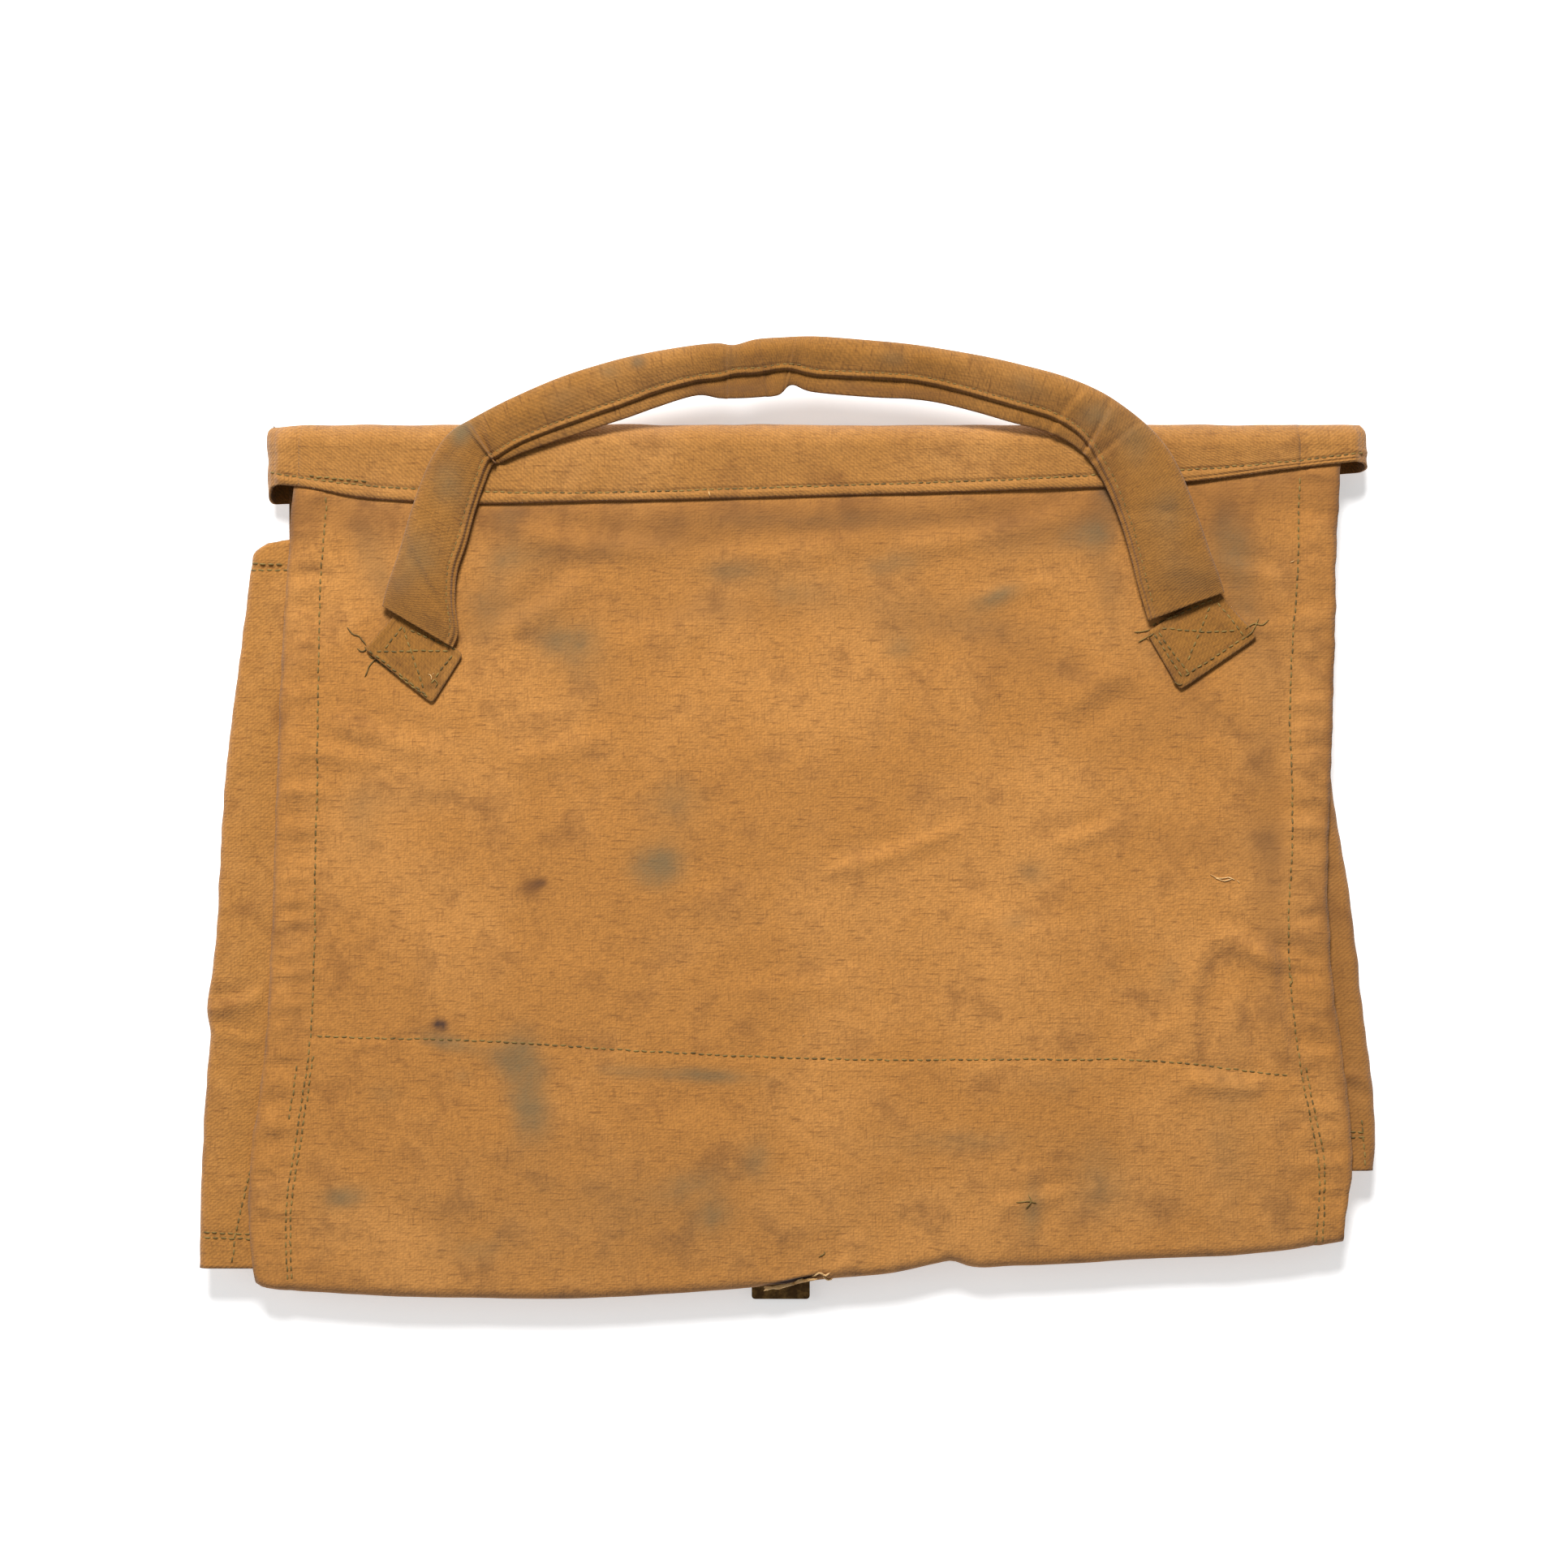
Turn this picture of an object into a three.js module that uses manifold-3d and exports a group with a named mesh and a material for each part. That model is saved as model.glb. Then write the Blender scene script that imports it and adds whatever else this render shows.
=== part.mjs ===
// Canvas mail sack with a padded carrying handle, lying flat and empty on its front, lid closed.
// Millimetres, +Z up. X runs along the mouth and Y from the base fold up to the mouth.
// The back panel faces up. The lid is sewn across the back panel's top, folds over the mouth and
// lies under the front panel, and its strap runs on down the front and ends below the base.
import * as THREE from "three";
import { mergeVertices } from "three/addons/utils/BufferGeometryUtils.js";
import Module from "manifold-3d";

const wasm = await Module();
wasm.setup();

// ---------------------------------------------------------------- driving dimensions
const canvas = 0.9; // one layer of cotton duck
const webbing = 1.4; // closing strap
const tape = 0.7; // buckle chape
const gap = 0.3; // left between pieces that touch on the real sack
const pocket = 7; // inside height of the flattened sack

const mouthWidth = 363.5; // back panel, edge to edge, at the lid fold
const baseWidth = 385.3; // and at the base fold
const sackHeight = 298; // lid fold to base fold, along the middle
const sideSag = 5; // the right edge is drawn in by this much
const baseLean = -6.6; // the base lies this far to the side of the mouth
const baseSlope = 0.0455; // the base fold runs askew, rise over run
const mouthCentre = 10.75;
const foldY = 140.3; // outside of the lid fold

const seamInset = 11; // side seams, in from the panel edge
const seamAllowance = 13; // what the gusset lies under the panel edge
const threadWidth = 0.8;
const threadHeight = 0.4;

const mouthDrop = 42; // front panel and gussets stop this far below the lid fold
const frontShift = { mouth: 8, base: 4 }; // the front lies this far to the left of the back
const facingHeight = 22; // strip sewn inside the front's top edge
const liningHeight = 78; // reinforcement inside the back panel, up from the base fold
const liningSlope = -0.036;

// How far each gusset's fold stands out past the panel's edge, and how high above the base it ends.
const leftGusset = { top: 13.5, middle: 20, bottom: 19.5, lift: 10 };
const rightGusset = { top: -2, middle: 4, bottom: 11, lift: 26 };

const bandDrop = { left: 22, middle: 27.3, right: 14 }; // lid fold down to the lid's seam edge
const lidEndOut = { left: 12, right: 12.1 }; // the hooded lid ends, past the panel's sides
const lidEndReturn = 8; // turned under, past the bend
const lidSeamInset = 3.4; // seam thread, up from the seam edge

const leafShort = 106.4; // the lid's front leaf stops this far short of the sack's height
const leafLength = sackHeight - leafShort;
const leafInset = 5; // the leaf is narrower than the back panel by this much a side
const leafCorner = 22;
const hemWidth = 9;

const strapWidth = 19;
const strapX = -2.3;
const strapAnchorLength = 44;
const strapReach = 107; // strap hinge line to the end of the tip
const hingeSlack = 1; // clear of the strap's hinge line, either side
const tipLength = 13;
const tipWall = 0.5;
const tipCorner = 1.4;
const crimpSpacing = 5.4;
const crimpSize = { width: 0.6, length: 1.7, depth: 0.25 };

const strapClearance = 2.9; // between the strap and the buckle's sides
const buckleHeight = 22;
const buckleSide = 2.6;
const barThick = 1.8;
const buckleCorner = 3;
const buckleDrop = 50.5; // buckle bar, below the strap hinge line
const chapeLength = 36;

const handleCentre = 5.6;
const handleSpan = 268; // between the middles of its two feet
const handleRise = 88.4;
const handleFootY = 72;
const handleWidth = { grip: 18, foot: 27 };
const handleThick = { grip: 8, foot: 6 };
const coreShort = 4; // the core stops this far inside the cover's ends
const tabWidth = 31;
const tabLength = { outer: 17, inner: 26 };
const tabUnderlap = 5; // what a tab runs on under the padded foot
const tabCorner = 4;
const patchSize = 36;
const stitchInset = 3.5;

// ---------------------------------------------------------------- levels, from the ground up
const leafTop = canvas;
const strapZ = leafTop + gap;
const strapTop = strapZ + webbing;
const loopInner = Math.hypot(barThick, barThick) / 2 + gap; // the chape's loop, around the square bar
const loopOuter = loopInner + tape;
const barZ = strapTop + gap + loopOuter;
const frontZ = barZ + loopOuter + gap;
const frontTop = frontZ + canvas;
const facingZ = frontTop + gap;
const backZ = frontTop + pocket;
const backTop = backZ + canvas;
const liningZ = backZ - gap - canvas; // linings, patches and gussets, inside the back panel
const bandZ = backTop + gap;
const bandTop = bandZ + canvas;
const handleZ = bandTop + threadHeight + gap;

// ---------------------------------------------------------------- lines of the sack, seen from above
const lidRadius = bandTop / 2;
const lidStartY = foldY - lidRadius; // where the flat lid starts to turn
const baseY = foldY - sackHeight;
const baseCentre = mouthCentre + baseLean;
const share = (y) => (foldY - y) / sackHeight; // 0 at the lid fold, 1 at the base fold
const middle = (y) => mouthCentre + baseLean * share(y);
const halfWidth = (y) => (mouthWidth + (baseWidth - mouthWidth) * share(y)) / 2;
const leftEdge = (y) => middle(y) - halfWidth(y);
const rightEdge = (y) => middle(y) + halfWidth(y) - sideSag * Math.sin(Math.PI * share(y)) ** 2;
const shift = (y) => frontShift.mouth + (frontShift.base - frontShift.mouth) * share(y);
const frontLeft = (y) => leftEdge(y) - shift(y);
const frontRight = (y) => rightEdge(y) - shift(y);
const baseRadius = (backTop - frontZ) / 2;
const baseLine = (x) => baseY + baseSlope * (x - baseCentre);
const panelEnd = (x) => baseLine(x) + baseRadius; // where the flat panels start to turn
const liningLine = (x) => baseY + liningHeight + liningSlope * (x - baseCentre);
const mouthY = foldY - mouthDrop;
const leafEndY = lidStartY - leafLength;
const strapHingeY = leafEndY - 2.5 * hingeSlack;
const barY = strapHingeY - buckleDrop;

// The lid's seam edge on the back panel: deepest near the middle, and up at both ends.
const lidLeft = leftEdge(foldY) - lidEndOut.left;
const lidRight = rightEdge(foldY) + lidEndOut.right;
const seamEdge = new THREE.QuadraticBezierCurve(
  new THREE.Vector2(lidLeft, foldY - bandDrop.left),
  new THREE.Vector2(
    THREE.MathUtils.lerp(lidLeft, lidRight, 0.4), foldY - 2 * bandDrop.middle + (bandDrop.left + bandDrop.right) / 2),
  new THREE.Vector2(lidRight, foldY - bandDrop.right));

// ---------------------------------------------------------------- materials
const finish = (color, roughness, metalness = 0) =>
  new THREE.MeshStandardMaterial({ color, roughness, metalness });
const duck = finish(0xbd8648, 0.95);
const duckShade = finish(0xa8743c, 0.95);
const webMaterial = finish(0x8a6c3c, 0.9);
const threadMaterial = finish(0x8d7136, 0.85);
const brass = finish(0x57431f, 0.5, 1);
const felt = finish(0x8b7a5c, 1);

// ---------------------------------------------------------------- making solids
const sack = new THREE.Group();

function add(name, geometry, material) {
  const mesh = new THREE.Mesh(geometry, material);
  mesh.name = name;
  sack.add(mesh);
}

// Values from first to last, both included.
const steps = (first, last, count) =>
  Array.from({ length: count + 1 }, (_, i) => THREE.MathUtils.lerp(first, last, i / count));

// A flat piece with an outline in X and Y, from z0 up to z1.
function plate(outline, z0, z1) {
  const shape = outline instanceof THREE.Shape
    ? outline : new THREE.Shape(outline.map(([x, y]) => new THREE.Vector2(x, y)));
  const options = { depth: z1 - z0, bevelEnabled: false, curveSegments: 6 };
  return new THREE.ExtrudeGeometry(shape, options).translate(0, 0, z0);
}

// A shape drawn in Y and Z, run along X from x0 to x1.
function alongX(shape, x0, x1) {
  const turn = new THREE.Matrix4().makeBasis(
    new THREE.Vector3(0, 1, 0), new THREE.Vector3(0, 0, 1), new THREE.Vector3(1, 0, 0));
  const options = { depth: x1 - x0, bevelEnabled: false, curveSegments: 8 };
  return new THREE.ExtrudeGeometry(shape, options).applyMatrix4(turn).translate(x0, 0, 0);
}

function box(x0, x1, y0, y1, z0, z1) {
  const size = [x1 - x0, y1 - y0, z1 - z0];
  return new THREE.BoxGeometry(...size).translate((x0 + x1) / 2, (y0 + y1) / 2, (z0 + z1) / 2);
}

// Each profile is a closed outline at one station, and place(u, v, i) puts its points in space. The
// skin joins each station to the next, and both ends are closed.
function loft(profiles, place) {
  const sections = profiles.map((profile) => profile.map(([u, v]) => new THREE.Vector2(u, v)));
  if (THREE.ShapeUtils.isClockWise(sections[0])) sections.forEach((section) => section.reverse());
  const points = sections.flatMap((section, i) => section.map(({ x, y }) => place(x, y, i)));
  const count = sections[0].length;
  const last = points.length - count;
  const faces = [];
  for (let a = 0; a < last; a++) {
    const b = a % count === count - 1 ? a + 1 - count : a + 1;
    faces.push([a, b, b + count], [a, b + count, a + count]);
  }
  for (const [a, b, c] of THREE.ShapeUtils.triangulateShape(sections[0], [])) faces.push([a, c, b]);
  for (const face of THREE.ShapeUtils.triangulateShape(sections.at(-1), [])) faces.push(face.map((a) => last + a));
  const volume = faces.reduce((sum, [a, b, c]) => sum + points[a].dot(points[b].clone().cross(points[c])), 0);
  const index = volume > 0 ? faces.flat() : faces.flatMap(([a, b, c]) => [a, c, b]);
  return new THREE.BufferGeometry().setFromPoints(points).setIndex(index);
}

// A sheet folded back on itself: two legs that end at upper and lower, and a bend that reaches apex,
// between the levels z0 and z1.
function hairpin(upper, lower, apex, z0, z1) {
  const side = Math.sign(apex - upper);
  const radius = (z1 - z0) / 2;
  const arc = (r, from, to) => steps(from, to, 8).map((turn) => [
    apex - side * (radius - r * Math.cos(turn)), (z0 + z1) / 2 + r * Math.sin(turn)]);
  const outer = arc(radius, Math.PI / 2, -Math.PI / 2);
  const inner = arc(radius - canvas, -Math.PI / 2, Math.PI / 2);
  return [[upper, z1], ...outer, [lower, z0], [lower, z0 + canvas], ...inner, [upper, z1 - canvas]];
}

function solid(geometry) {
  const bare = geometry.clone();
  bare.deleteAttribute("normal");
  bare.deleteAttribute("uv");
  const merged = mergeVertices(bare, 1e-4);
  return new wasm.Manifold(new wasm.Mesh({
    numProp: 3,
    vertProperties: new Float32Array(merged.attributes.position.array),
    triVerts: new Uint32Array(merged.index.array),
  }));
}

function geometryOf(made) {
  const mesh = made.getMesh();
  return new THREE.BufferGeometry()
    .setAttribute("position", new THREE.BufferAttribute(mesh.vertProperties, 3))
    .setIndex(new THREE.BufferAttribute(mesh.triVerts, 1));
}

const join = (...parts) => geometryOf(parts.map(solid).reduce((a, b) => a.add(b)));
const cut = (part, ...tools) => geometryOf(tools.map(solid).reduce((a, b) => a.subtract(b), solid(part)));

// A flat strip of one width that follows a line of points.
function ribbon(line, width, z0, z1) {
  const path = line.map(([x, y]) => new THREE.Vector2(x, y));
  const sides = path.map((point, i) => {
    const from = path[Math.max(i - 1, 0)];
    const to = path[Math.min(i + 1, path.length - 1)];
    const along = to.clone().sub(from).normalize();
    return new THREE.Vector2(-along.y, along.x).multiplyScalar(width / 2);
  });
  const left = path.map((point, i) => point.clone().add(sides[i]).toArray());
  const right = path.map((point, i) => point.clone().sub(sides[i]).toArray());
  return plate([...right, ...left.reverse()], z0, z1);
}

// A sewn patch: a plate with raised thread around it and from corner to corner.
function sewnPatch(outline, z0, z1, threadCorners) {
  const sides = threadCorners.map((corner, i) => [corner, threadCorners[(i + 1) % 4]]);
  const cross = [[threadCorners[0], threadCorners[2]], [threadCorners[1], threadCorners[3]]];
  const threads = [...sides, ...cross].map((line) => ribbon(line, threadWidth, z1 - threadHeight, z1 + threadHeight));
  return join(plate(outline, z0, z1), ...threads);
}

// Thread laid along a seam, on top of a surface.
const seam = (line, surface) => ribbon(line, threadWidth, surface + gap, surface + gap + threadHeight);

// ---------------------------------------------------------------- back panel and what is sewn to it
const flatTop = lidStartY - 2 * gap; // a bend keeps a straight run of one gap, and the flat piece another
const flatEnd = (x) => panelEnd(x) + 2 * gap;
const edgeHeights = steps(flatTop, flatEnd(rightEdge(baseY)), 12);
const backOutline = [
  [leftEdge(flatTop), flatTop],
  [leftEdge(baseY), flatEnd(leftEdge(baseY))],
  [rightEdge(baseY), flatEnd(rightEdge(baseY))],
  ...edgeHeights.slice(0, -1).reverse().map((y) => [rightEdge(y), y]),
];
add("back_panel", plate(backOutline, backZ, backTop), duck);

// The lining reaches from one gusset's seam allowance to the other's.
const liningSide = (edge, inset) => steps(liningLine(edge(baseY)), flatEnd(edge(baseY)), 6)
  .map((y) => [edge(y) + inset, y]);
const liningInset = seamAllowance + gap;
add("base_lining", plate([
  ...liningSide(leftEdge, liningInset), ...liningSide(rightEdge, -liningInset).reverse(),
], liningZ, liningZ + canvas), duckShade);

// ---------------------------------------------------------------- gussets, folded flat
// A value that passes through first, centre and last as t goes from 0 to 1.
const through = (first, centre, last, t) =>
  first + (4 * centre - 3 * first - last) * t + (2 * first + 2 * last - 4 * centre) * t * t;

function gusset(name, side, size, backEdge, frontEdge) {
  const endY = baseLine(backEdge(baseY)) + size.lift;
  const stations = steps(mouthY, endY, 12);
  const profiles = stations.map((y, i) => {
    const apex = backEdge(y) + side * through(size.top, size.middle, size.bottom, i / 12);
    const inside = side * seamAllowance;
    return hairpin(backEdge(y) - inside, frontEdge(y) - inside, apex, facingZ, liningZ + canvas);
  });
  add(name, loft(profiles, (x, z, i) => new THREE.Vector3(x, stations[i], z)), duckShade);
}

gusset("gusset_left", -1, leftGusset, leftEdge, frontLeft);
gusset("gusset_right", 1, rightGusset, rightEdge, frontRight);

// ---------------------------------------------------------------- base fold, between the two panels
const baseEnds = [leftEdge(baseY), rightEdge(baseY)];
const baseProfiles = baseEnds.map((x) => {
  const legEnd = panelEnd(x) + gap;
  return hairpin(legEnd, legEnd, baseLine(x), frontZ, backTop);
});
add("base_fold", loft(baseProfiles, (y, z, i) => new THREE.Vector3(baseEnds[i], y, z)), duck);

// ---------------------------------------------------------------- lid: band, hooded ends and fold
const bandEdge = seamEdge.getPoints(12).map((point) => point.toArray());
const endRadius = (bandTop - strapZ - gap) / 2;
const bandLeft = lidLeft + endRadius;
const bandRight = lidRight - endRadius;
const [bandStart, bandStop] = [bandLeft + 2 * gap, bandRight - 2 * gap];
const inBand = ([x]) => x > bandStart + gap && x < bandStop - gap;
const seamY = (x) => seamEdge.getPoint((x - lidLeft) / (lidRight - lidLeft)).y;
add("lid_band", plate([
  [bandStart, flatTop], [bandStart, seamY(bandStart)], ...bandEdge.filter(inBand),
  [bandStop, seamY(bandStop)], [bandStop, flatTop],
], bandZ, bandTop), duck);

function lidEnd(name, side, bend, apex) {
  const profile = hairpin(bend - side * gap, bend - side * lidEndReturn, apex, strapZ + gap, bandTop);
  const stations = [seamY(apex), flatTop];
  add(name, loft([profile, profile], (x, z, i) => new THREE.Vector3(x, stations[i], z)), duckShade);
}

lidEnd("lid_end_left", -1, bandLeft, lidLeft);
lidEnd("lid_end_right", 1, bandRight, lidRight);

const foldProfile = hairpin(lidStartY - gap, lidStartY - gap, foldY, 0, bandTop);
add("lid_fold", loft([foldProfile, foldProfile], (y, z, i) => new THREE.Vector3([lidLeft, lidRight][i], y, z)), duck);

// ---------------------------------------------------------------- front panel
const frontOutline = [
  [frontLeft(mouthY), mouthY],
  [frontLeft(baseY), flatEnd(frontLeft(baseY))],
  [frontRight(baseY), flatEnd(frontRight(baseY))],
  ...edgeHeights.filter((y) => y < mouthY).reverse().map((y) => [frontRight(y), y]),
  [frontRight(mouthY), mouthY],
];
add("front_panel", plate(frontOutline, frontZ, frontTop), duck);

const facingHeights = steps(mouthY, mouthY - facingHeight, 3);
add("front_facing", plate([
  ...facingHeights.map((y) => [frontLeft(y) + liningInset, y]),
  ...facingHeights.map((y) => [frontRight(y) - liningInset, y]).reverse(),
], facingZ, facingZ + canvas), duckShade);

// ---------------------------------------------------------------- lid leaf and its hem
const leafLeft = (y) => leftEdge(y) + leafInset;
const leafRight = (y) => rightEdge(foldY) - sideSag - leafInset + (rightEdge(baseY) - rightEdge(foldY)) * share(y);
const leaf = new THREE.Shape();
leaf.moveTo(leafLeft(flatTop), flatTop);
leaf.lineTo(leafLeft(leafEndY), leafEndY + leafCorner);
leaf.quadraticCurveTo(leafLeft(leafEndY), leafEndY, leafLeft(leafEndY) + leafCorner, leafEndY);
leaf.lineTo(leafRight(leafEndY) - leafCorner, leafEndY);
leaf.quadraticCurveTo(leafRight(leafEndY), leafEndY, leafRight(leafEndY), leafEndY + leafCorner);
leaf.lineTo(leafRight(flatTop), flatTop);
add("lid_leaf", plate(leaf, 0, leafTop), duck);

// The hem runs down one side of the leaf, around the corner and in to the strap.
function lidHem(name, side, edge) {
  const inset = side * (hemWidth / 2 + 1);
  const bottom = leafEndY + hemWidth / 2 + 1;
  const turn = leafCorner - hemWidth / 2;
  const corner = new THREE.QuadraticBezierCurve(
    new THREE.Vector2(edge(leafEndY) - inset, bottom + turn),
    new THREE.Vector2(edge(leafEndY) - inset, bottom),
    new THREE.Vector2(edge(leafEndY) - inset - side * turn, bottom));
  const top = flatTop - hemWidth;
  const strapSide = strapX + side * (strapWidth / 2 + gap);
  const line = [[edge(top) - inset, top], ...corner.getPoints(6).map((point) => point.toArray()), [strapSide, bottom]];
  add(name, ribbon(line, hemWidth, strapZ, strapZ + canvas), duckShade);
}

lidHem("lid_hem_left", -1, leafLeft);
lidHem("lid_hem_right", 1, leafRight);

// ---------------------------------------------------------------- closing strap
const strapSides = [strapX - strapWidth / 2, strapX + strapWidth / 2];
const anchorStart = strapHingeY + hingeSlack;
const anchorEnd = leafEndY + strapAnchorLength;
const corners = (x0, x1, y0, y1) => [[x0, y0], [x1, y0], [x1, y1], [x0, y1]];
add("strap_anchor", sewnPatch(
  corners(...strapSides, anchorStart, anchorEnd), strapZ, strapTop,
  corners(strapSides[0] + stitchInset, strapSides[1] - stitchInset, leafEndY + stitchInset, anchorEnd - stitchInset),
), webMaterial);

const strapEnd = strapHingeY - strapReach;
const tipFit = tipWall + gap;
add("strap_tail", box(...strapSides, strapEnd + tipFit, strapHingeY - hingeSlack, strapZ, strapTop), webMaterial);

const tipSides = [strapSides[0] - tipFit, strapSides[1] + tipFit];
const tip = new THREE.Shape();
tip.moveTo(tipSides[0], strapEnd + tipLength);
tip.lineTo(tipSides[0], strapEnd + tipCorner);
tip.quadraticCurveTo(tipSides[0], strapEnd, tipSides[0] + tipCorner, strapEnd);
tip.lineTo(tipSides[1] - tipCorner, strapEnd);
tip.quadraticCurveTo(tipSides[1], strapEnd, tipSides[1], strapEnd + tipCorner);
tip.lineTo(tipSides[1], strapEnd + tipLength);
const tipTop = strapTop + tipFit;
const crimps = [-1, 1].map((side) => {
  const x = strapX + (side * crimpSpacing) / 2;
  const y = strapEnd + tipLength / 4;
  return box(x - crimpSize.width / 2, x + crimpSize.width / 2, y, y + crimpSize.length,
    tipTop - crimpSize.depth, tipTop + crimpSize.depth);
});
const tipSlot = box(strapSides[0] - gap, strapSides[1] + gap, strapEnd + tipWall, strapEnd + 2 * tipLength,
  strapZ - gap, strapTop + gap);
add("strap_tip", cut(plate(tip, strapZ - tipFit, tipTop), tipSlot, ...crimps), brass);

// ---------------------------------------------------------------- buckle and its chape
const frameTop = barY + buckleHeight - barThick / 2;
const frame = new THREE.Shape();
const frameLeft = strapSides[0] - strapClearance - buckleSide;
const frameRight = strapSides[1] + strapClearance + buckleSide;
const frameBottom = barY - barThick / 2;
frame.moveTo(frameLeft, frameBottom);
frame.lineTo(frameRight, frameBottom);
frame.lineTo(frameRight, frameTop - buckleCorner);
frame.quadraticCurveTo(frameRight, frameTop, frameRight - buckleCorner, frameTop);
frame.lineTo(frameLeft + buckleCorner, frameTop);
frame.quadraticCurveTo(frameLeft, frameTop, frameLeft, frameTop - buckleCorner);
const windowHole = new THREE.Path();
windowHole.moveTo(frameLeft + buckleSide, barY + barThick / 2);
windowHole.lineTo(frameLeft + buckleSide, frameTop - buckleSide);
windowHole.lineTo(frameRight - buckleSide, frameTop - buckleSide);
windowHole.lineTo(frameRight - buckleSide, barY + barThick / 2);
frame.holes.push(windowHole);
add("buckle_frame", plate(frame, barZ - barThick / 2, barZ + barThick / 2), brass);

const chape = new THREE.Shape();
chape.moveTo(barY - chapeLength, barZ + loopOuter);
chape.lineTo(barY, barZ + loopOuter);
chape.absarc(barY, barZ, loopOuter, Math.PI / 2, -Math.PI / 2, true);
chape.lineTo(barY - loopOuter, barZ - loopOuter);
chape.lineTo(barY - 3 * loopOuter, barZ + loopOuter - 2 * tape);
chape.lineTo(barY - chapeLength, barZ + loopOuter - 2 * tape);
const barHole = new THREE.Path();
barHole.absarc(barY, barZ, loopInner, 0, 2 * Math.PI);
chape.holes.push(barHole);
add("buckle_chape", alongX(chape, ...strapSides), webMaterial);

// ---------------------------------------------------------------- handle
const handleLine = new THREE.CatmullRomCurve3([
  [-1, 0], [-0.935, 0.3], [-0.8, 0.66], [-0.56, 0.9], [-0.27, 0.99], [0, 1],
  [0.27, 0.99], [0.56, 0.9], [0.8, 0.66], [0.935, 0.3], [1, 0],
].map(([u, v]) => new THREE.Vector3(handleCentre + (u * handleSpan) / 2, handleFootY + v * handleRise, 0)));

// A tube along the handle, between two shares of its length, with an oval section that is widest at
// the feet. inset is taken off the section all around, and overrun carries both ends on.
function handleTube(from, to, inset, overrun) {
  const stations = steps(from, to, 30);
  const points = stations.map((t) => handleLine.getPointAt(t));
  const along = stations.map((t) => handleLine.getTangentAt(t));
  points[0].addScaledVector(along[0], -overrun);
  points.at(-1).addScaledVector(along.at(-1), overrun);
  const profiles = stations.map((t) => {
    const foot = Math.abs(2 * t - 1) ** 3;
    const width = THREE.MathUtils.lerp(handleWidth.grip, handleWidth.foot, foot) / 2 - inset;
    const thick = THREE.MathUtils.lerp(handleThick.grip, handleThick.foot, foot) / 2 - inset;
    return steps(0, 2 * Math.PI, 14).slice(1).map((turn) => [width * Math.cos(turn), thick * Math.sin(turn)]);
  });
  const level = handleZ + handleThick.grip / 2;
  return loft(profiles, (u, v, i) => new THREE.Vector3(
    points[i].x - along[i].y * u, points[i].y + along[i].x * u, level + v));
}

const handleLength = handleLine.getLength();
add("handle_cover", cut(handleTube(0, 1, 0, 0), handleTube(0, 1, canvas, 1)), duck);
const coreStart = coreShort / handleLength;
add("handle_core", handleTube(coreStart, 1 - coreStart, canvas + gap, 0), felt);

// Each foot's flat tab is sewn down beyond the padding, and a patch backs it inside the sack.
function handleAnchor(label, end) {
  const foot = handleLine.getPointAt(end);
  const down = handleLine.getTangentAt(end).multiplyScalar(end ? 1 : -1);
  const across = new THREE.Vector3(-down.y, down.x, 0).multiplyScalar(end ? -1 : 1);
  const at = (u, v) => [foot.x + across.x * u + down.x * v, foot.y + across.y * u + down.y * v];
  const [outer, inner] = [-tabWidth / 2, tabWidth / 2];
  const tab = [
    at(outer, -tabUnderlap), at(outer, tabLength.outer), at(inner - tabCorner, tabLength.inner),
    at(inner, tabLength.inner - tabCorner), at(inner, -tabUnderlap),
  ];
  const threads = [
    at(outer + stitchInset, stitchInset), at(outer + stitchInset, tabLength.outer - stitchInset),
    at(inner - stitchInset, tabLength.inner - 2 * stitchInset), at(inner - stitchInset, stitchInset),
  ];
  add("handle_tab_" + label, sewnPatch(tab, bandZ, bandTop, threads), duck);
  const centre = at(0, tabLength.outer / 2);
  add("handle_patch_" + label, box(centre[0] - patchSize / 2, centre[0] + patchSize / 2,
    centre[1] - patchSize / 2, centre[1] + patchSize / 2, liningZ, liningZ + canvas), duckShade);
}

handleAnchor("left", 0);
handleAnchor("right", 1);

// ---------------------------------------------------------------- seam threads
const leftHeights = steps(seamY(leftEdge(mouthY)) - 2, flatEnd(leftEdge(baseY)) + 2, 12);
const rightHeights = steps(seamY(rightEdge(mouthY)) - 2, flatEnd(rightEdge(baseY)) + 2, 12);
add("seam_left", seam(leftHeights.map((y) => [leftEdge(y) + seamInset, y]), backTop), threadMaterial);
add("seam_right", seam(rightHeights.map((y) => [rightEdge(y) - seamInset, y]), backTop), threadMaterial);
const beside = (edge, inset) => edge(liningLine(edge(baseY))) + inset;
const seamClear = seamInset + 2 * threadWidth;
const liningEnds = [beside(leftEdge, seamClear), beside(rightEdge, -seamClear)];
add("seam_lining", seam(liningEnds.map((x) => [x, liningLine(x)]), backTop), threadMaterial);
const lidSeam = bandEdge.filter(inBand).map(([x, y]) => [x, y + lidSeamInset]);
add("seam_lid", seam(lidSeam, bandTop), threadMaterial);

export default sack;
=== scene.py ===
"""Canvas mail sack, lying flat: cloth, stitching, padded handle, strap and wear, built on the CAD frame."""
import math

import bpy
import numpy as np
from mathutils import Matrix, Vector
from mathutils.bvhtree import BVHTree


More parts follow.
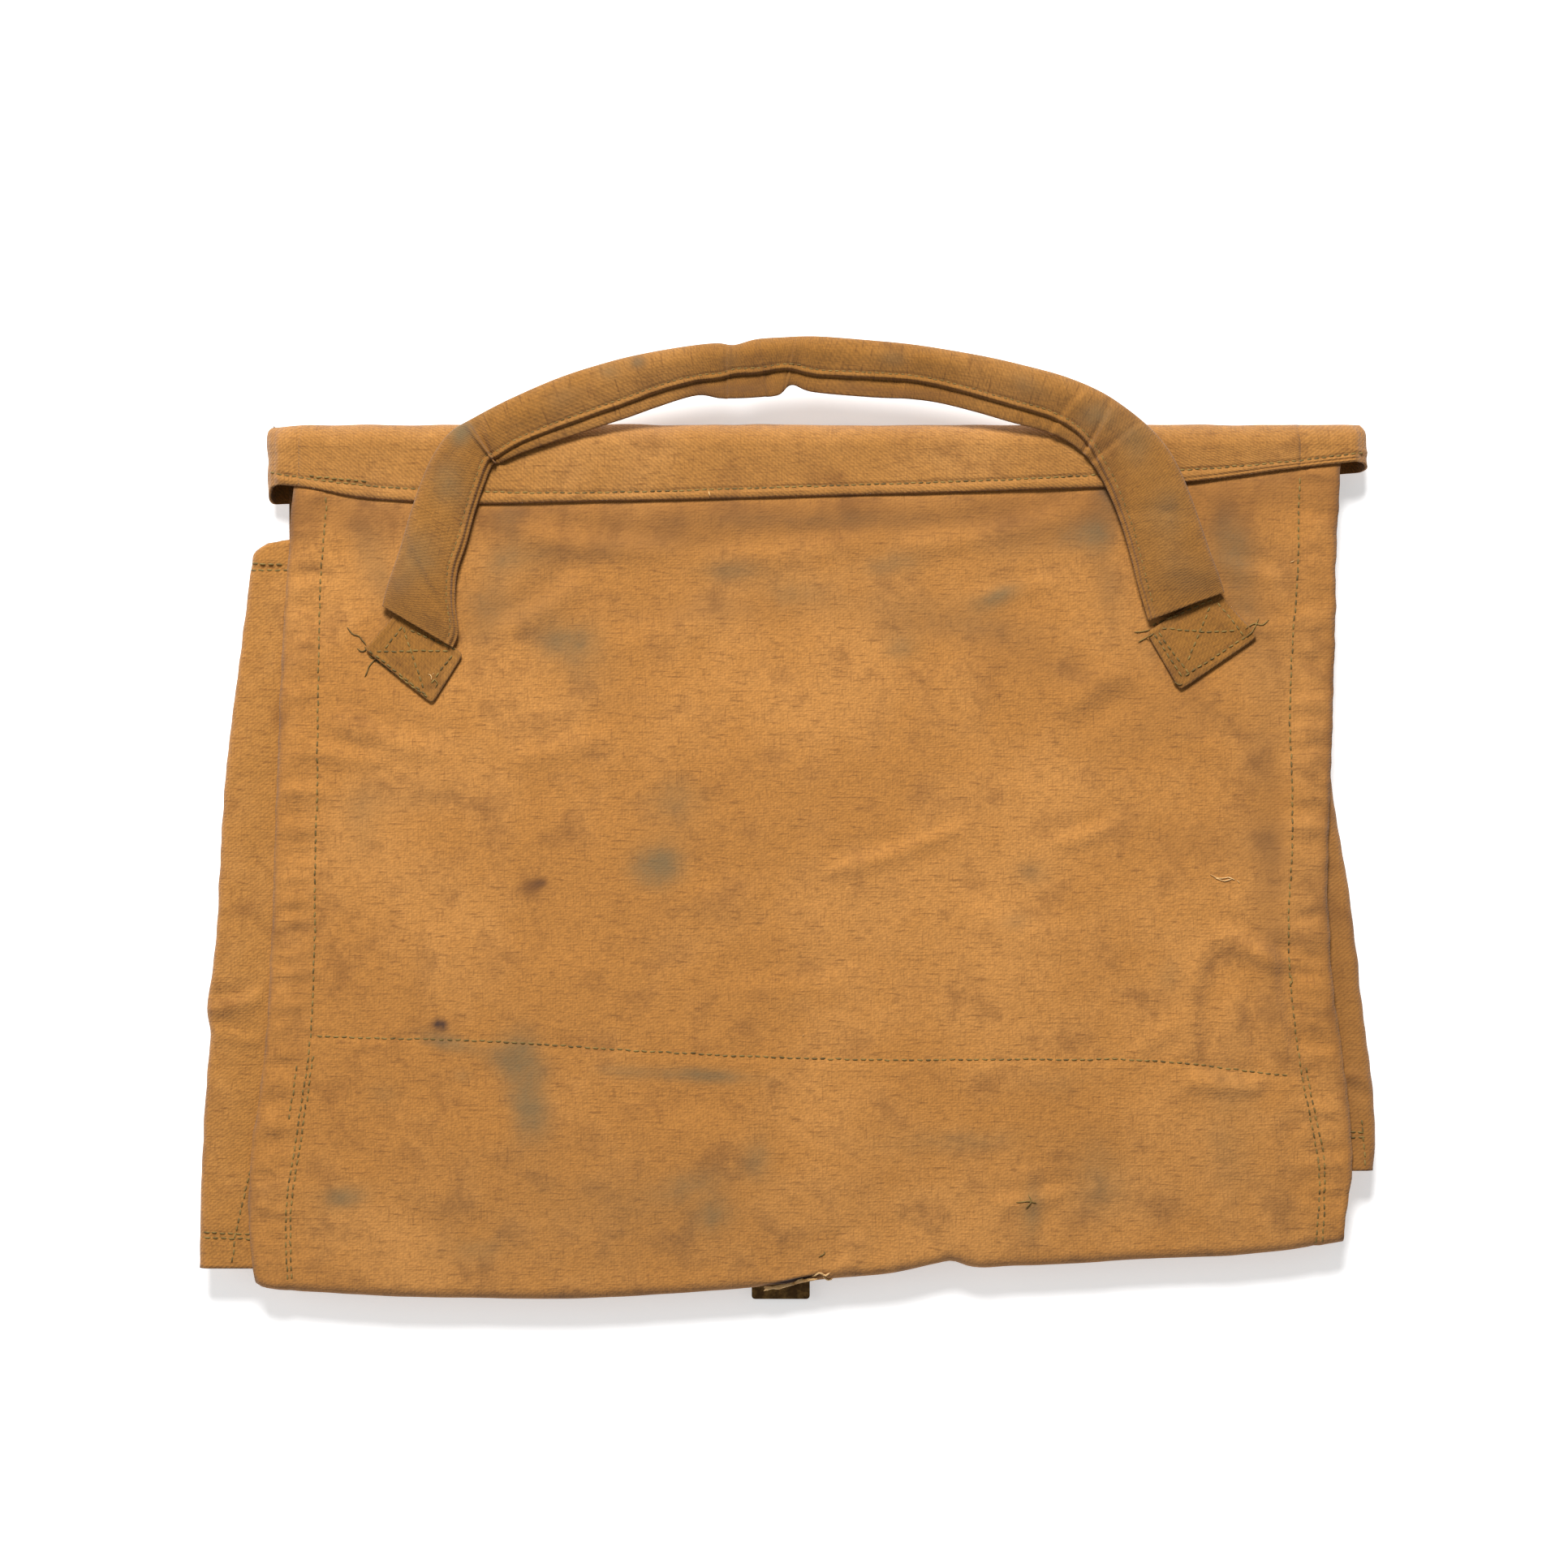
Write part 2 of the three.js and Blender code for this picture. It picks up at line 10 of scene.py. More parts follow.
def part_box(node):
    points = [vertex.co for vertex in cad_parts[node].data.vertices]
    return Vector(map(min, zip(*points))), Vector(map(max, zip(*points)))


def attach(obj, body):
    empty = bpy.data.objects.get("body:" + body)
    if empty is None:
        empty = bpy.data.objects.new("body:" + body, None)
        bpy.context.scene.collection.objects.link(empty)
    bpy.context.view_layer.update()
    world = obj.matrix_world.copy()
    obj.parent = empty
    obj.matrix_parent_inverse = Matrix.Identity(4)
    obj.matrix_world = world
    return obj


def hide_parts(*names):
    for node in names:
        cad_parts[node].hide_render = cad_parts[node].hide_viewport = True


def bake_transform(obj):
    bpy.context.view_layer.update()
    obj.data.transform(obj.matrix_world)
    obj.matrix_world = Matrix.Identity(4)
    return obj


bl_info = {
    "name": "Canvas Mail Sack",
    "version": (1, 0, 0),
    "blender": (4, 5, 0),
    "location": "3D View > Sidebar > Mail Sack",
    "description": "Builds a worn canvas mail sack around its CAD frame",
    "category": "Object",
}

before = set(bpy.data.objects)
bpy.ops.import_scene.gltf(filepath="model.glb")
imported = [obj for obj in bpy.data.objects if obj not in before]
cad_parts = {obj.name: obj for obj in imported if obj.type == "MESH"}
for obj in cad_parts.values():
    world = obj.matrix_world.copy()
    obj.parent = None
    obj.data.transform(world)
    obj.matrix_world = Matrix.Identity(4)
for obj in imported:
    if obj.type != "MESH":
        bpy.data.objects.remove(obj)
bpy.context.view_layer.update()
MM = 0.001


# ------------------------------------------------------------------ levels and lines, in millimetres
def level(node, top=True):
    """A CAD node's highest or lowest level."""
    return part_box(node)[1 if top else 0].z / MM


CANVAS = level("back_panel") - level("back_panel", False)
BACK = level("back_panel")
BAND = level("lid_band")
FRONT = level("front_panel", False)
LINING = level("base_lining")
FACING = level("front_facing", False)
FOLD_RADIUS = level("lid_fold") / 2
FOLD_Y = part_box("lid_fold")[1].y / MM
ROLL_Y = FOLD_Y - FOLD_RADIUS  # where the flat lid starts to roll over
LEAF_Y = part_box("lid_leaf")[0].y / MM
MOUTH_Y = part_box("front_panel")[1].y / MM
TUBE_Z = (level("handle_cover") + level("handle_cover", False)) / 2
SEAM_INSET = 11.0
STITCH = 2.85  # pitch of the machine stitches
TAPE = 1.2  # thickness of the strap's webbing, and of a tab's folded canvas
FOLD_LINE = 140.3  # Y of the lid's fold, and the sack's height below it
SACK_HEIGHT = 298.0
FRONT_SHIFT = (8, 4)  # how far the front lies to the left of the back, at its mouth and at its base
HANDLE_LENGTH = 470.0
LEAF_CORNER = 20.0
ROLL_LENGTH = 27.9  # of lid cloth round the roll, and then on down the band
BAND_LENGTH = 17.0
HEM = 9.0
HEM_TURN = 14.0
LOOSE_STITCH = 2.3  # the handle's hand-sewn rim
TAB_STITCH = 2.6

# Outlines of the limp sack, as knots along Y or X.
LEFT_EDGE = [(-170, -184), (-159, -187), (-145, -188.7), (-65, -182.4), (3, -179.6), (89, -175.6),
             (131, -172)]
RIGHT_EDGE = [(-165, 195), (-148, 196.5), (-139, 198), (-110, 197.2), (-82, 193.5), (-59, 191),
              (-25, 189.6), (15, 191), (72, 192.4), (100, 193), (131, 194.6)]
BASE_EDGE = [(-190, -160), (-186, -163.2), (-181, -164.6), (-160, -166), (-120, -167.4), (-77, -168),
             (-45, -166.6), (-11, -164), (15, -161), (37, -158.6), (52, -155.4), (58, -154.4),
             (64, -156.2), (80, -156.4), (120, -154.6), (162, -152.6), (190, -149), (198, -147.6)]
LEFT_FOLD = [(-157, -207), (-125, -206.4), (-84, -204), (-75, -203.2), (-66, -204.4), (-55, -202.8),
             (15, -198), (72, -191), (90, -188.6), (95, -187.4), (98.6, -182)]
RIGHT_FOLD = [(-123, 206.6), (-112, 207.2), (-99, 206.6), (-68, 203), (-25, 198), (15, 191.5), (60, 189),
              (98, 188)]
LINING_SEAM = [(-180, -75), (-166, -75.5), (-105, -77.2), (-60, -80), (-11, -82.6), (37, -83.8),
               (94, -83.5), (128, -84), (160, -87.4), (182, -90)]
BAND_EDGE = [(-184, 118.4), (-171, 117.4), (-150, 113.6), (-131, 112), (-60, 112.4), (8, 114), (75, 116),
             (140, 119), (180, 124), (205, 126.8)]
BAND_SEAM = [(-184, 123), (-172, 120.8), (-145, 117.6), (-105, 115.6), (8, 117.5), (80, 120), (123, 122.3),
             (180, 126.6), (205, 129.8)]
LEFT_CREASE = -171.5
RIGHT_CREASE = 180.0


def along(knots, t):
    """A smooth line through the knots, at t."""
    xs, ys = np.array(knots, float).T
    slope = np.gradient(ys, xs)
    t = np.clip(np.asarray(t, float), xs[0], xs[-1])
    i = np.clip(np.searchsorted(xs, t) - 1, 0, len(xs) - 2)
    h = xs[i + 1] - xs[i]
    s = (t - xs[i]) / h
    return (ys[i] * (1 + 2 * s) * (1 - s) ** 2 + ys[i + 1] * s * s * (3 - 2 * s)
            + h * slope[i] * s * (1 - s) ** 2 + h * slope[i + 1] * s * s * (s - 1))


def smooth(low, high, value):
    t = np.clip((np.asarray(value, float) - low) / (high - low), 0, 1)
    return t * t * (3 - 2 * t)


def bump(distance, width):
    return np.exp(-(np.asarray(distance, float) / width) ** 2)


def lerp(a, b, t):
    return a + (b - a) * t


def ripple(x, y, size, seed):
    """Smooth irregular waves about size across, from about -1 to 1."""
    table = np.random.default_rng(seed).uniform(0, 2 * math.pi, (64, 64))
    x, y = np.broadcast_arrays(np.asarray(x, float) / size + 1000, np.asarray(y, float) / size + 1000)
    column, row = np.floor(x).astype(int), np.floor(y).astype(int)
    dx, dy = x - column, y - row

    def corner(i, j):
        angle = table[(row + j) % 64, (column + i) % 64]
        return np.cos(angle) * (dx - i) + np.sin(angle) * (dy - j)

    u, v = dx ** 3 * (dx * (dx * 6 - 15) + 10), dy ** 3 * (dy * (dy * 6 - 15) + 10)
    return 1.6 * lerp(lerp(corner(0, 0), corner(1, 0), u), lerp(corner(0, 1), corner(1, 1), u), v)


def fold(x, y, start, end, width, height):
    """A soft crease from start to end that fades out at both ends: a ridge, with a hollow beside it."""
    (x0, y0), (x1, y1) = start, end
    length = math.hypot(x1 - x0, y1 - y0)
    ux, uy = (x1 - x0) / length, (y1 - y0) / length
    run = ((x - x0) * ux + (y - y0) * uy) / length
    off = (y - y0) * ux - (x - x0) * uy + width * 0.3 * np.sin(run * 4)
    fade = smooth(-0.12, 0.2, run) * smooth(1.12, 0.8, run)
    return height * fade * (bump(off, width) - 0.6 * bump(off - 1.7 * width, width))


# ------------------------------------------------------------------ the cloth's relief
PANEL_FOLDS = [
    ((14, -18), (62, -3), 3.2, 0.8), ((-95, 101), (-40, 93), 4, 0.7), ((-30, 92), (32, 97), 4, 0.5),
    ((40, 96), (100, 106), 4, 0.7), ((62, 78), (96, 84), 3, 0.4), ((-100, 66), (-70, 84), 4, 0.8),
    ((-66, 62), (-20, 72), 6, 0.5), ((150, 92), (172, 84), 3, 0.6), ((148, 72), (176, 66), 3, 0.6),
    ((120, 52), (96, 40), 5, 0.7), ((128, 46), (150, 20), 5, 0.5), ((-160, 36), (-120, 22), 4, 0.8),
    ((-168, 26), (-140, 20), 3, 0.6), ((-96, 22), (-60, 30), 4, 0.5), ((174, 40), (168, -30), 6, -0.9),
    ((150, -38), (176, -52), 3.4, 1.1), ((168, -40), (174, -84), 3.6, 1.2),
    ((146, -44), (140, -84), 4, 0.9), ((139, -90), (166, -94), 3, 0.9), ((158, -58), (160, -88), 3, 0.8),
    ((140, -70), (120, -84), 3, 0.4), ((84, -122), (86, -146), 3, 0.7), ((72, -134), (98, -132), 2.6, 0.6),
    ((56, -152), (50, -138), 2.6, 0.8), ((20, -158), (24, -146), 3, 0.6), ((-40, -24), (-10, -30), 6, 0.4),
    ((-140, -110), (-120, -140), 6, 0.4), ((130, -100), (150, -142), 6, 0.5),
    ((-20, -60), (30, -56), 5, 0.3), ((60, -30), (100, -44), 6, 0.4), ((92, -8), (116, -2), 3, 0.5),
    ((170, -100), (174, -140), 3.5, 0.6), ((-60, -100), (-20, -112), 6, 0.3),
]


def edge_distance(x, y):
    """How far in from the nearer side of the back panel, and which side that is."""
    left, right = x - along(LEFT_EDGE, y), along(RIGHT_EDGE, y) - x
    return np.minimum(left, right), np.where(left < right, 1.0, 2.0)


def panel_relief(x, y):
    inside, side = edge_distance(x, y)
    z = 1.1 * ripple(x, y, 95, 1) + 0.62 * ripple(x, y, 40, 2) + 0.24 * ripple(x, y, 15, 3)
    z += 0.05 * ripple(x, y, 6, 4)
    seam = inside - SEAM_INSET
    pucker = ripple(x * 0.13 + 400 * side, y, 7.5, 5) + 0.6 * ripple(x * 0.2 + 300 * side, y, 4.2, 6)
    z += 1.15 * pucker * bump(seam + 3, 8) * smooth(0, 3, inside)
    z += 0.5 * ripple(x * 0.4 + 200 * side, y, 3.4, 8) * bump(seam + 1.5, 4)
    z += 0.35 * smooth(0.6, -0.6, seam) - 0.6 * bump(seam, 0.9)
    lining = y - along(LINING_SEAM, x)
    across = smooth(SEAM_INSET, SEAM_INSET + 4, inside)
    z += across * (0.2 * smooth(0.8, -0.8, lining) - 0.4 * bump(lining, 0.8))
    z += across * 0.28 * ripple(x, y * 0.22, 8, 7) * bump(lining, 7)
    for crease in PANEL_FOLDS:
        z = z + 1.5 * fold(x, y, *crease)
    z -= 0.35 * smooth(1.2, 0, inside)
    z += 0.5 * smooth(0, -3, y - along(BAND_EDGE, x)) * bump(y - along(BAND_EDGE, x) + 5, 6)
    slit = fold(x, y, (-9, -163.4), (12, -159.4), 0.7, -1.3)
    return np.maximum(z, -1.0) + slit + 0.35


def band_relief(x, y):
    edge = y - along(BAND_EDGE, x)
    seam = y - along(BAND_SEAM, x)
    z = 0.28 * ripple(x, y * 2, 34, 11) + 0.1 * ripple(x, y, 12, 12) + 0.05 * ripple(x, y, 5, 13)
    z += 0.32 * ripple(x, y * 0.2, 9, 14) * bump(seam, 2.2)
    z += -0.62 * bump(seam, 0.7) + 0.42 * bump(edge - 1.7, 1.3) - 0.5 * smooth(0.7, 0, edge)
    second = smooth(120, 150, x) * bump(edge - 1.25, 0.35)
    return z - 0.5 * second + 0.5


# ------------------------------------------------------------------ small modelling helpers
def only(obj):
    bpy.ops.object.select_all(action="DESELECT")
    obj.select_set(True)
    bpy.context.view_layer.objects.active = obj


def apply(obj, kind, **settings):
    only(obj)
    modifier = obj.modifiers.new(kind.title(), kind)
    for name, value in settings.items():
        setattr(modifier, name, value)
    bpy.ops.object.modifier_apply(modifier=modifier.name)


def shade(obj):
    only(obj)
    bpy.ops.object.shade_smooth()
    return obj


def dress(obj, material):
    obj.data.materials.clear()
    obj.data.materials.append(material)
    return obj


def store(obj, name, values):
    """Keeps a vector for each vertex, such as its place along the cloth."""
    layer = obj.data.attributes.new(name, "FLOAT_VECTOR", "POINT")
    layer.data.foreach_set("vector", np.asarray(values, np.float32).ravel())


def grid(name, columns, rows):
    """A flat grid, with each vertex's share of the way across and down it."""
    bpy.ops.object.select_all(action="DESELECT")
    bpy.ops.mesh.primitive_grid_add(x_subdivisions=columns, y_subdivisions=rows, size=2)
    obj = bpy.context.object
    obj.name = obj.data.name = name
    co = np.zeros(len(obj.data.vertices) * 3)
    obj.data.vertices.foreach_get("co", co)
    co = co.reshape(-1, 3)
    return obj, (co[:, 0] + 1) / 2, (1 - co[:, 1]) / 2


def cloth(name, columns, rows, shape, thickness=CANVAS, inward=-1):
    """A sheet of cloth. shape(u, v) gives each point's place and its place along the flat cloth, in
    millimetres. The sheet gets its thickness on the inner side."""
    obj, u, v = grid(name, columns, rows)
    place, weave = shape(u, v)
    place = np.stack(np.broadcast_arrays(*place), 1)
    weave = np.stack(np.broadcast_arrays(*weave, 0.0), 1)
    obj.data.vertices.foreach_set("co", (place * MM).ravel())
    obj.data.update()
    store(obj, "weave", weave * MM)
    apply(obj, "SOLIDIFY", thickness=thickness * MM, offset=inward, use_even_offset=False)
    rest = np.zeros(len(obj.data.vertices) * 3)
    obj.data.vertices.foreach_get("co", rest)
    store(obj, "place", rest)
    return shade(obj)


def hairpin(upper, lower, apex, low, high, t):
    """Points on a sheet folded back on itself, from its upper leg's end at t 0 to its lower's at 1."""
    side = np.sign(apex - upper)
    radius = np.maximum((high - low) / 2, 0.05)
    centre = apex - side * radius
    legs = np.abs(centre - upper), math.pi * radius, np.abs(centre - lower)
    run = t * (legs[0] + legs[1] + legs[2])
    turn = np.clip((run - legs[0]) / legs[1], 0, 1) * math.pi
    x = centre + side * radius * np.sin(turn)
    z = (low + high) / 2 + radius * np.cos(turn)
    x = np.where(run < legs[0], upper + side * run, x)
    x = np.where(run > legs[0] + legs[1], centre - side * (run - legs[0] - legs[1]), x)
    return x, z, run


def surface_below(*objects):
    """A function that gives the height of the first of these surfaces met from above."""
    vertices, faces = [], []
    for obj in objects:
        start = len(vertices)
        vertices += [v.co.copy() for v in obj.data.vertices]
        faces += [[start + i for i in p.vertices] for p in obj.data.polygons]
    tree = BVHTree.FromPolygons(vertices, faces)

    def height(x, y, default=0.0):
        hit = tree.ray_cast(Vector((x * MM, y * MM, 0.08)), Vector((0, 0, -1)))
        return hit[0].z / MM if hit[0] else default

    return height


def merged(name, vertices, faces, extra=None):
    mesh = bpy.data.meshes.new(name)
    mesh.from_pydata([tuple(p) for p in np.asarray(vertices) * MM], [], faces)
    mesh.update()
    obj = bpy.data.objects.new(name, mesh)
    bpy.context.scene.collection.objects.link(obj)
    store(obj, "weave", np.asarray(extra if extra is not None else vertices) * MM)
    store(obj, "place", np.asarray(vertices) * MM)
    return shade(obj)


def spaced(path, pitch):
    """Points and directions at equal steps along a line."""
    path = np.asarray(path, float)
    lengths = np.concatenate([[0], np.cumsum(np.linalg.norm(np.diff(path, axis=0), axis=1))])
    at = np.arange(pitch / 2, lengths[-1], pitch)
    points = np.stack([np.interp(at, lengths, path[:, i]) for i in range(path.shape[1])], 1)
    ahead = np.stack([np.interp(at + 0.5, lengths, path[:, i]) for i in range(path.shape[1])], 1)
    back = np.stack([np.interp(at - 0.5, lengths, path[:, i]) for i in range(path.shape[1])], 1)
    direction = ahead - back
    return points, direction / np.linalg.norm(direction, axis=1)[:, None]


def one_stitch():
    """A single stitch: a short thread that dips into the cloth at both ends."""
    bpy.ops.object.select_all(action="DESELECT")
    bpy.ops.mesh.primitive_cylinder_add(vertices=6, radius=0.3, depth=2.5, end_fill_type="NOTHING")
    bpy.ops.object.mode_set(mode="EDIT")
    bpy.ops.mesh.select_all(action="SELECT")
    bpy.ops.mesh.subdivide(number_cuts=3, quadcorner="INNERVERT")
    bpy.ops.object.mode_set(mode="OBJECT")
    obj = bpy.context.object
    co = np.array([v.co for v in obj.data.vertices])
    run = co[:, 2]
    angle = np.arctan2(co[:, 1], co[:, 0])
    taper = 1 - 0.45 * (run / 1.25) ** 4
    dip = 0.42 * (run / 1.25) ** 4
    points = np.stack([run, 0.3 * taper * np.cos(angle), 0.3 * taper * np.sin(angle) - dip], 1)
    faces = [list(p.vertices) for p in obj.data.polygons]
    bpy.data.objects.remove(obj)
    return points, faces


def stitches(name, lines, height, seed=0, pitch=STITCH, lift=0.14, size=1.0):
    """Rows of single stitches that follow lines laid on a surface."""
    base, base_faces = one_stitch()
    random = np.random.default_rng(seed)
    vertices, faces = [], []
    for line in lines:
        points, directions = spaced(line, pitch)
        for point, way in zip(points, directions):
            yaw = math.atan2(way[1], way[0]) + random.normal(0, 0.07)
            c, s = math.cos(yaw), math.sin(yaw)
            x, y = point[:2] + random.normal(0, 0.09, 2)
            here = height(x, y)
            rise = height(x + c, y + s, here) - height(x - c, y - s, here)
            slope = np.clip(rise / 2, -0.5, 0.5)
            long = pitch / STITCH * random.uniform(0.88, 1.0)
            local = base * [long, size, size * random.uniform(0.85, 1.15)]
            placed = np.stack([x + local[:, 0] * c - local[:, 1] * s, y + local[:, 0] * s + local[:, 1] * c,
                               here + lift + local[:, 2] + local[:, 0] * slope], 1)
            start = len(vertices)
            vertices.extend(placed)
            faces.extend([start + i for i in face] for face in base_faces)
    return merged(name, vertices, faces)


def threads(name, lines, radius, seed=0):
    """Loose threads: thin round tubes along lines of points, tapering to their ends."""
    random = np.random.default_rng(seed)
    vertices, faces = [], []
    sides = 5
    for line in lines:
        points, directions = spaced(line, 0.35)
        for i, (point, way) in enumerate(zip(points, directions)):
            across = np.cross(way, [0, 0, 1.0])
            across /= max(np.linalg.norm(across), 1e-6)
            up = np.cross(across, way)
            end = min(i, len(points) - 1 - i) / 4
            r = radius * min(1, 0.25 + end) * random.uniform(0.85, 1.15)
            for k in range(sides):
                turn = 2 * math.pi * k / sides
                vertices.append(point + r * (math.cos(turn) * across + math.sin(turn) * up))
            if i:
                start = len(vertices) - 2 * sides
                for k in range(sides):
                    n = (k + 1) % sides
                    faces.append([start + k, start + n, start + sides + n, start + sides + k])
        last = len(vertices) - sides
        first = last - sides * (len(points) - 1)
        faces += [list(range(first, first + sides))[::-1], list(range(last, last + sides))]
    return merged(name, vertices, faces)


def tube(name, rings, weave):
    """A closed tube through rings of points, with flat ends and its faces outward."""
    count, sides = rings.shape[:2]
    faces = []
    for i in range(count - 1):
        for k in range(sides):
            n = (k + 1) % sides
            faces.append([i * sides + k, i * sides + n, (i + 1) * sides + n, (i + 1) * sides + k])
    faces.append(list(range(sides))[::-1])
    faces.append([(count - 1) * sides + k for k in range(sides)])
    obj = merged(name, rings.reshape(-1, 3), faces, weave.reshape(-1, 3))
    only(obj)
    bpy.ops.object.mode_set(mode="EDIT")
    bpy.ops.mesh.select_all(action="SELECT")
    bpy.ops.mesh.normals_make_consistent(inside=False)
    bpy.ops.object.mode_set(mode="OBJECT")
    return obj


def declare(obj):
    """Reads the flat-cut place of each point of a piece from its weave; nothing is done with it."""
    weave = np.zeros(len(obj.data.vertices) * 3)
    obj.data.attributes["weave"].data.foreach_get("vector", weave)
    weave = weave.reshape(-1, 3)[:, :2]


# ------------------------------------------------------------------ stains and painted shade, as soft spots on the cloth
# Each has its place and half-sizes in millimetres, its turn in degrees, and how strong it is in grey
# grime, brown water mark and near-black spot. Most are stains; the entries noted below are painted shade.
STAINS_AND_SHADE = [
    (-45.6, -16.5, 10, 8, 0, 0.95, 0.0, 0.10), (-39.9, 9.1, 11, 8, 0, 0.4, 0.0, 0.0),
    (-89.8, -22.8, 5.5, 2.8, 10, 0.0, 0.9, 0.25), (-86.5, -21.4, 2.6, 1.4, 10, 0.0, 0.6, 0.3),
    (-121.7, -71.3, 3.2, 2.1, -20, 0.0, 0.5, 1.0), (-94, -84, 10, 12, 0, 0.8, 0.0, 0.0),
    (-90, -102, 7, 12, 5, 0.65, 0.0, 0.0), (-118, -78, 14, 4, -14, 0.6, 0.0, 0.0),
    (-28.5, -89.2, 20, 3.2, -4, 0.75, 0.2, 0.1), (-58, -88, 12, 3, -4, 0.4, 0.1, 0.0),
    (-155.3, -132, 8, 4, 5, 0.55, 0.1, 0.05), (-142, -95, 6, 5, 0, 0.35, 0.0, 0.0),
    (39.9, 60.4, 7, 5, 0, 0.5, 0.0, 0.0), (74.1, 78.9, 9, 3.4, 20, 0.6, 0.1, 0.1),
    (-77, 63.3, 13, 8, 0, 0.55, 0.0, 0.0), (-70, 52, 16, 9, 0, 0.25, 0.15, 0.0),
    (85.5, -18, 9, 6, 0, 0.4, 0.0, 0.0), (79.8, -35.1, 8, 5, 0, 0.35, 0.0, 0.0),
    (134, -53.6, 5, 8, 0, 0.35, 0.15, 0.0), (-25.7, -139.1, 6, 7, 0, 0.45, 0.0, 0.0),
    (-114, -89.2, 4, 3, 0, 0.4, 0.2, 0.05), (-36, -128, 14, 5, 15, 0.3, 0.0, 0.0),
    (-110, -150, 12, 5, 0, 0.25, 0.1, 0.0), (-20, 88, 14, 4, 0, 0.35, 0.1, 0.0),
    (2, 80, 8, 5, 0, 0.3, 0.0, 0.0), (38, 91, 12, 4, 10, 0.35, 0.1, 0.0),
    (106, 100, 9, 6, 0, 0.4, 0.1, 0.0), (-96, 93, 12, 6, 15, 0.4, 0.1, 0.0),
    (10, 106, 60, 4, 0, 0.25, 0.25, 0.0), (-150, 0, 8, 20, 0, 0.25, 0.1, 0.0),
    (120, 30, 30, 10, 15, 0.15, 0.2, 0.0), (170, -20, 6, 50, 0, 0.1, 0.35, 0.0),
    (150, 96, 18, 10, 0, 0.2, 0.2, 0.0), (155, -100, 10, 30, 0, 0.25, 0.1, 0.0),
    (-60, 40, 30, 6, 0, 0.1, 0.2, 0.0), (-10, -118, 6, 10, 0, 0.35, 0.0, 0.0),
    (92, -92, 16, 6, 0, 0.2, 0.1, 0.0), (60, -112, 30, 5, 3, 0.3, 0.0, 0.0),
    (110, -124, 10, 14, 0, 0.3, 0.0, 0.0), (86, -136, 4, 9, 0, 0.5, 0.2, 0.1),
    (-143, 88, 8, 22, 25, 0.35, 0.3, 0.15), (-140, 62, 10, 8, 0, 0.3, 0.3, 0.1),
    (158, 88, 6, 26, 12, 0.3, 0.3, 0.1), (112, 84, 5, 24, 10, 0.2, 0.3, 0.1),
    (-107, 74, 8, 14, 0, 0.3, 0.3, 0.1), (-98, 108, 7, 8, 0, 0.35, 0.2, 0.1),
    # Painted shade: the entry at (1.5, -161.6) is a near-black line in the torn slit at the base, with brown
    # soil along it.
    (114, 116, 6, 7, 0, 0.5, 0.2, 0.25), (1.5, -161.6, 9, 0.9, 12, 0.0, 0.5, 1.2),
    (-170, -60, 6, 40, 0, 0.1, 0.3, 0.0), (128, 62, 8, 10, 0, 0.2, 0.2, 0.0),
    # Painted shade: the wide soft brown entries at (30, 84), (-30, 74), (60, 70), (100, 52), (-92, 78),
    # (-58, 96) and (92, 100) darken the panel under the handle.
    (30, 84, 130, 22, 0, 0.16, 0.2, 0.0), (172, 60, 34, 60, 0, 0.14, 0.24, 0.0),
    (180, -40, 26, 70, 0, 0.12, 0.2, 0.0), (-30, 74, 40, 6, 4, 0.1, 0.3, 0.03),
    (60, 70, 34, 7, -8, 0.2, 0.25, 0.03), (100, 52, 40, 8, -14, 0.1, 0.35, 0.03),
    (-92, 78, 18, 9, 20, 0.25, 0.3, 0.04), (-58, 96, 30, 5, 6, 0.15, 0.3, 0.03),
    (92, 100, 24, 6, 12, 0.2, 0.3, 0.03), (-130, 8, 26, 9, 14, 0.2, 0.25, 0.0),
    (-120, -52, 34, 12, 0, 0.14, 0.12, 0.0), (140, -6, 34, 9, -10, 0.1, 0.3, 0.0),
    (-66, -134, 50, 18, 0, 0.12, 0.1, 0.0), (40, 36, 50, 7, -6, 0.08, 0.18, 0.0),
    (-40, -2, 26, 10, 8, 0.2, 0.0, 0.0),
]

HANDLE_STAINS_AND_SHADE = [
    (-114, 136, 5, 5, 20, 0.8, 0.2, 0.15), (-104, 149, 5, 8, -20, 0.6, 0.2, 0.1),
    (-118, 118, 8, 10, 0, 0.5, 0.1, 0.0), (-128, 92, 8, 12, 20, 0.5, 0.2, 0.0),
    (-136, 82, 6, 6, 0, 0.3, 0.4, 0.0), (-78, 148, 9, 5, 25, 0.35, 0.3, 0.0),
    (-62, 157, 5, 4, 0, 0.5, 0.2, 0.1), (-52, 160, 4, 3, 0, 0.5, 0.3, 0.1),
    (-20, 161, 5, 5, 0, 0.3, 0.2, 0.0), (36, 161, 7, 4, 0, 0.45, 0.2, 0.0),
    (84, 152, 9, 5, -30, 0.4, 0.3, 0.0), (108, 142, 8, 6, 0, 0.55, 0.3, 0.05),
    (122, 132, 7, 9, 0, 0.5, 0.1, 0.0), (132, 108, 10, 14, 0, 0.4, 0.2, 0.0),
    # Painted shade: the entries at (-20, 151) and (40, 150), long and thin along the arch, darken the
    # handle's underside below its sewn rim.
    (140, 86, 12, 8, 0, 0.35, 0.3, 0.0), (-20, 151, 22, 2.4, 0, 0.2, 0.5, 0.1),
    (40, 150, 40, 2.2, -4, 0.1, 0.5, 0.1),
]


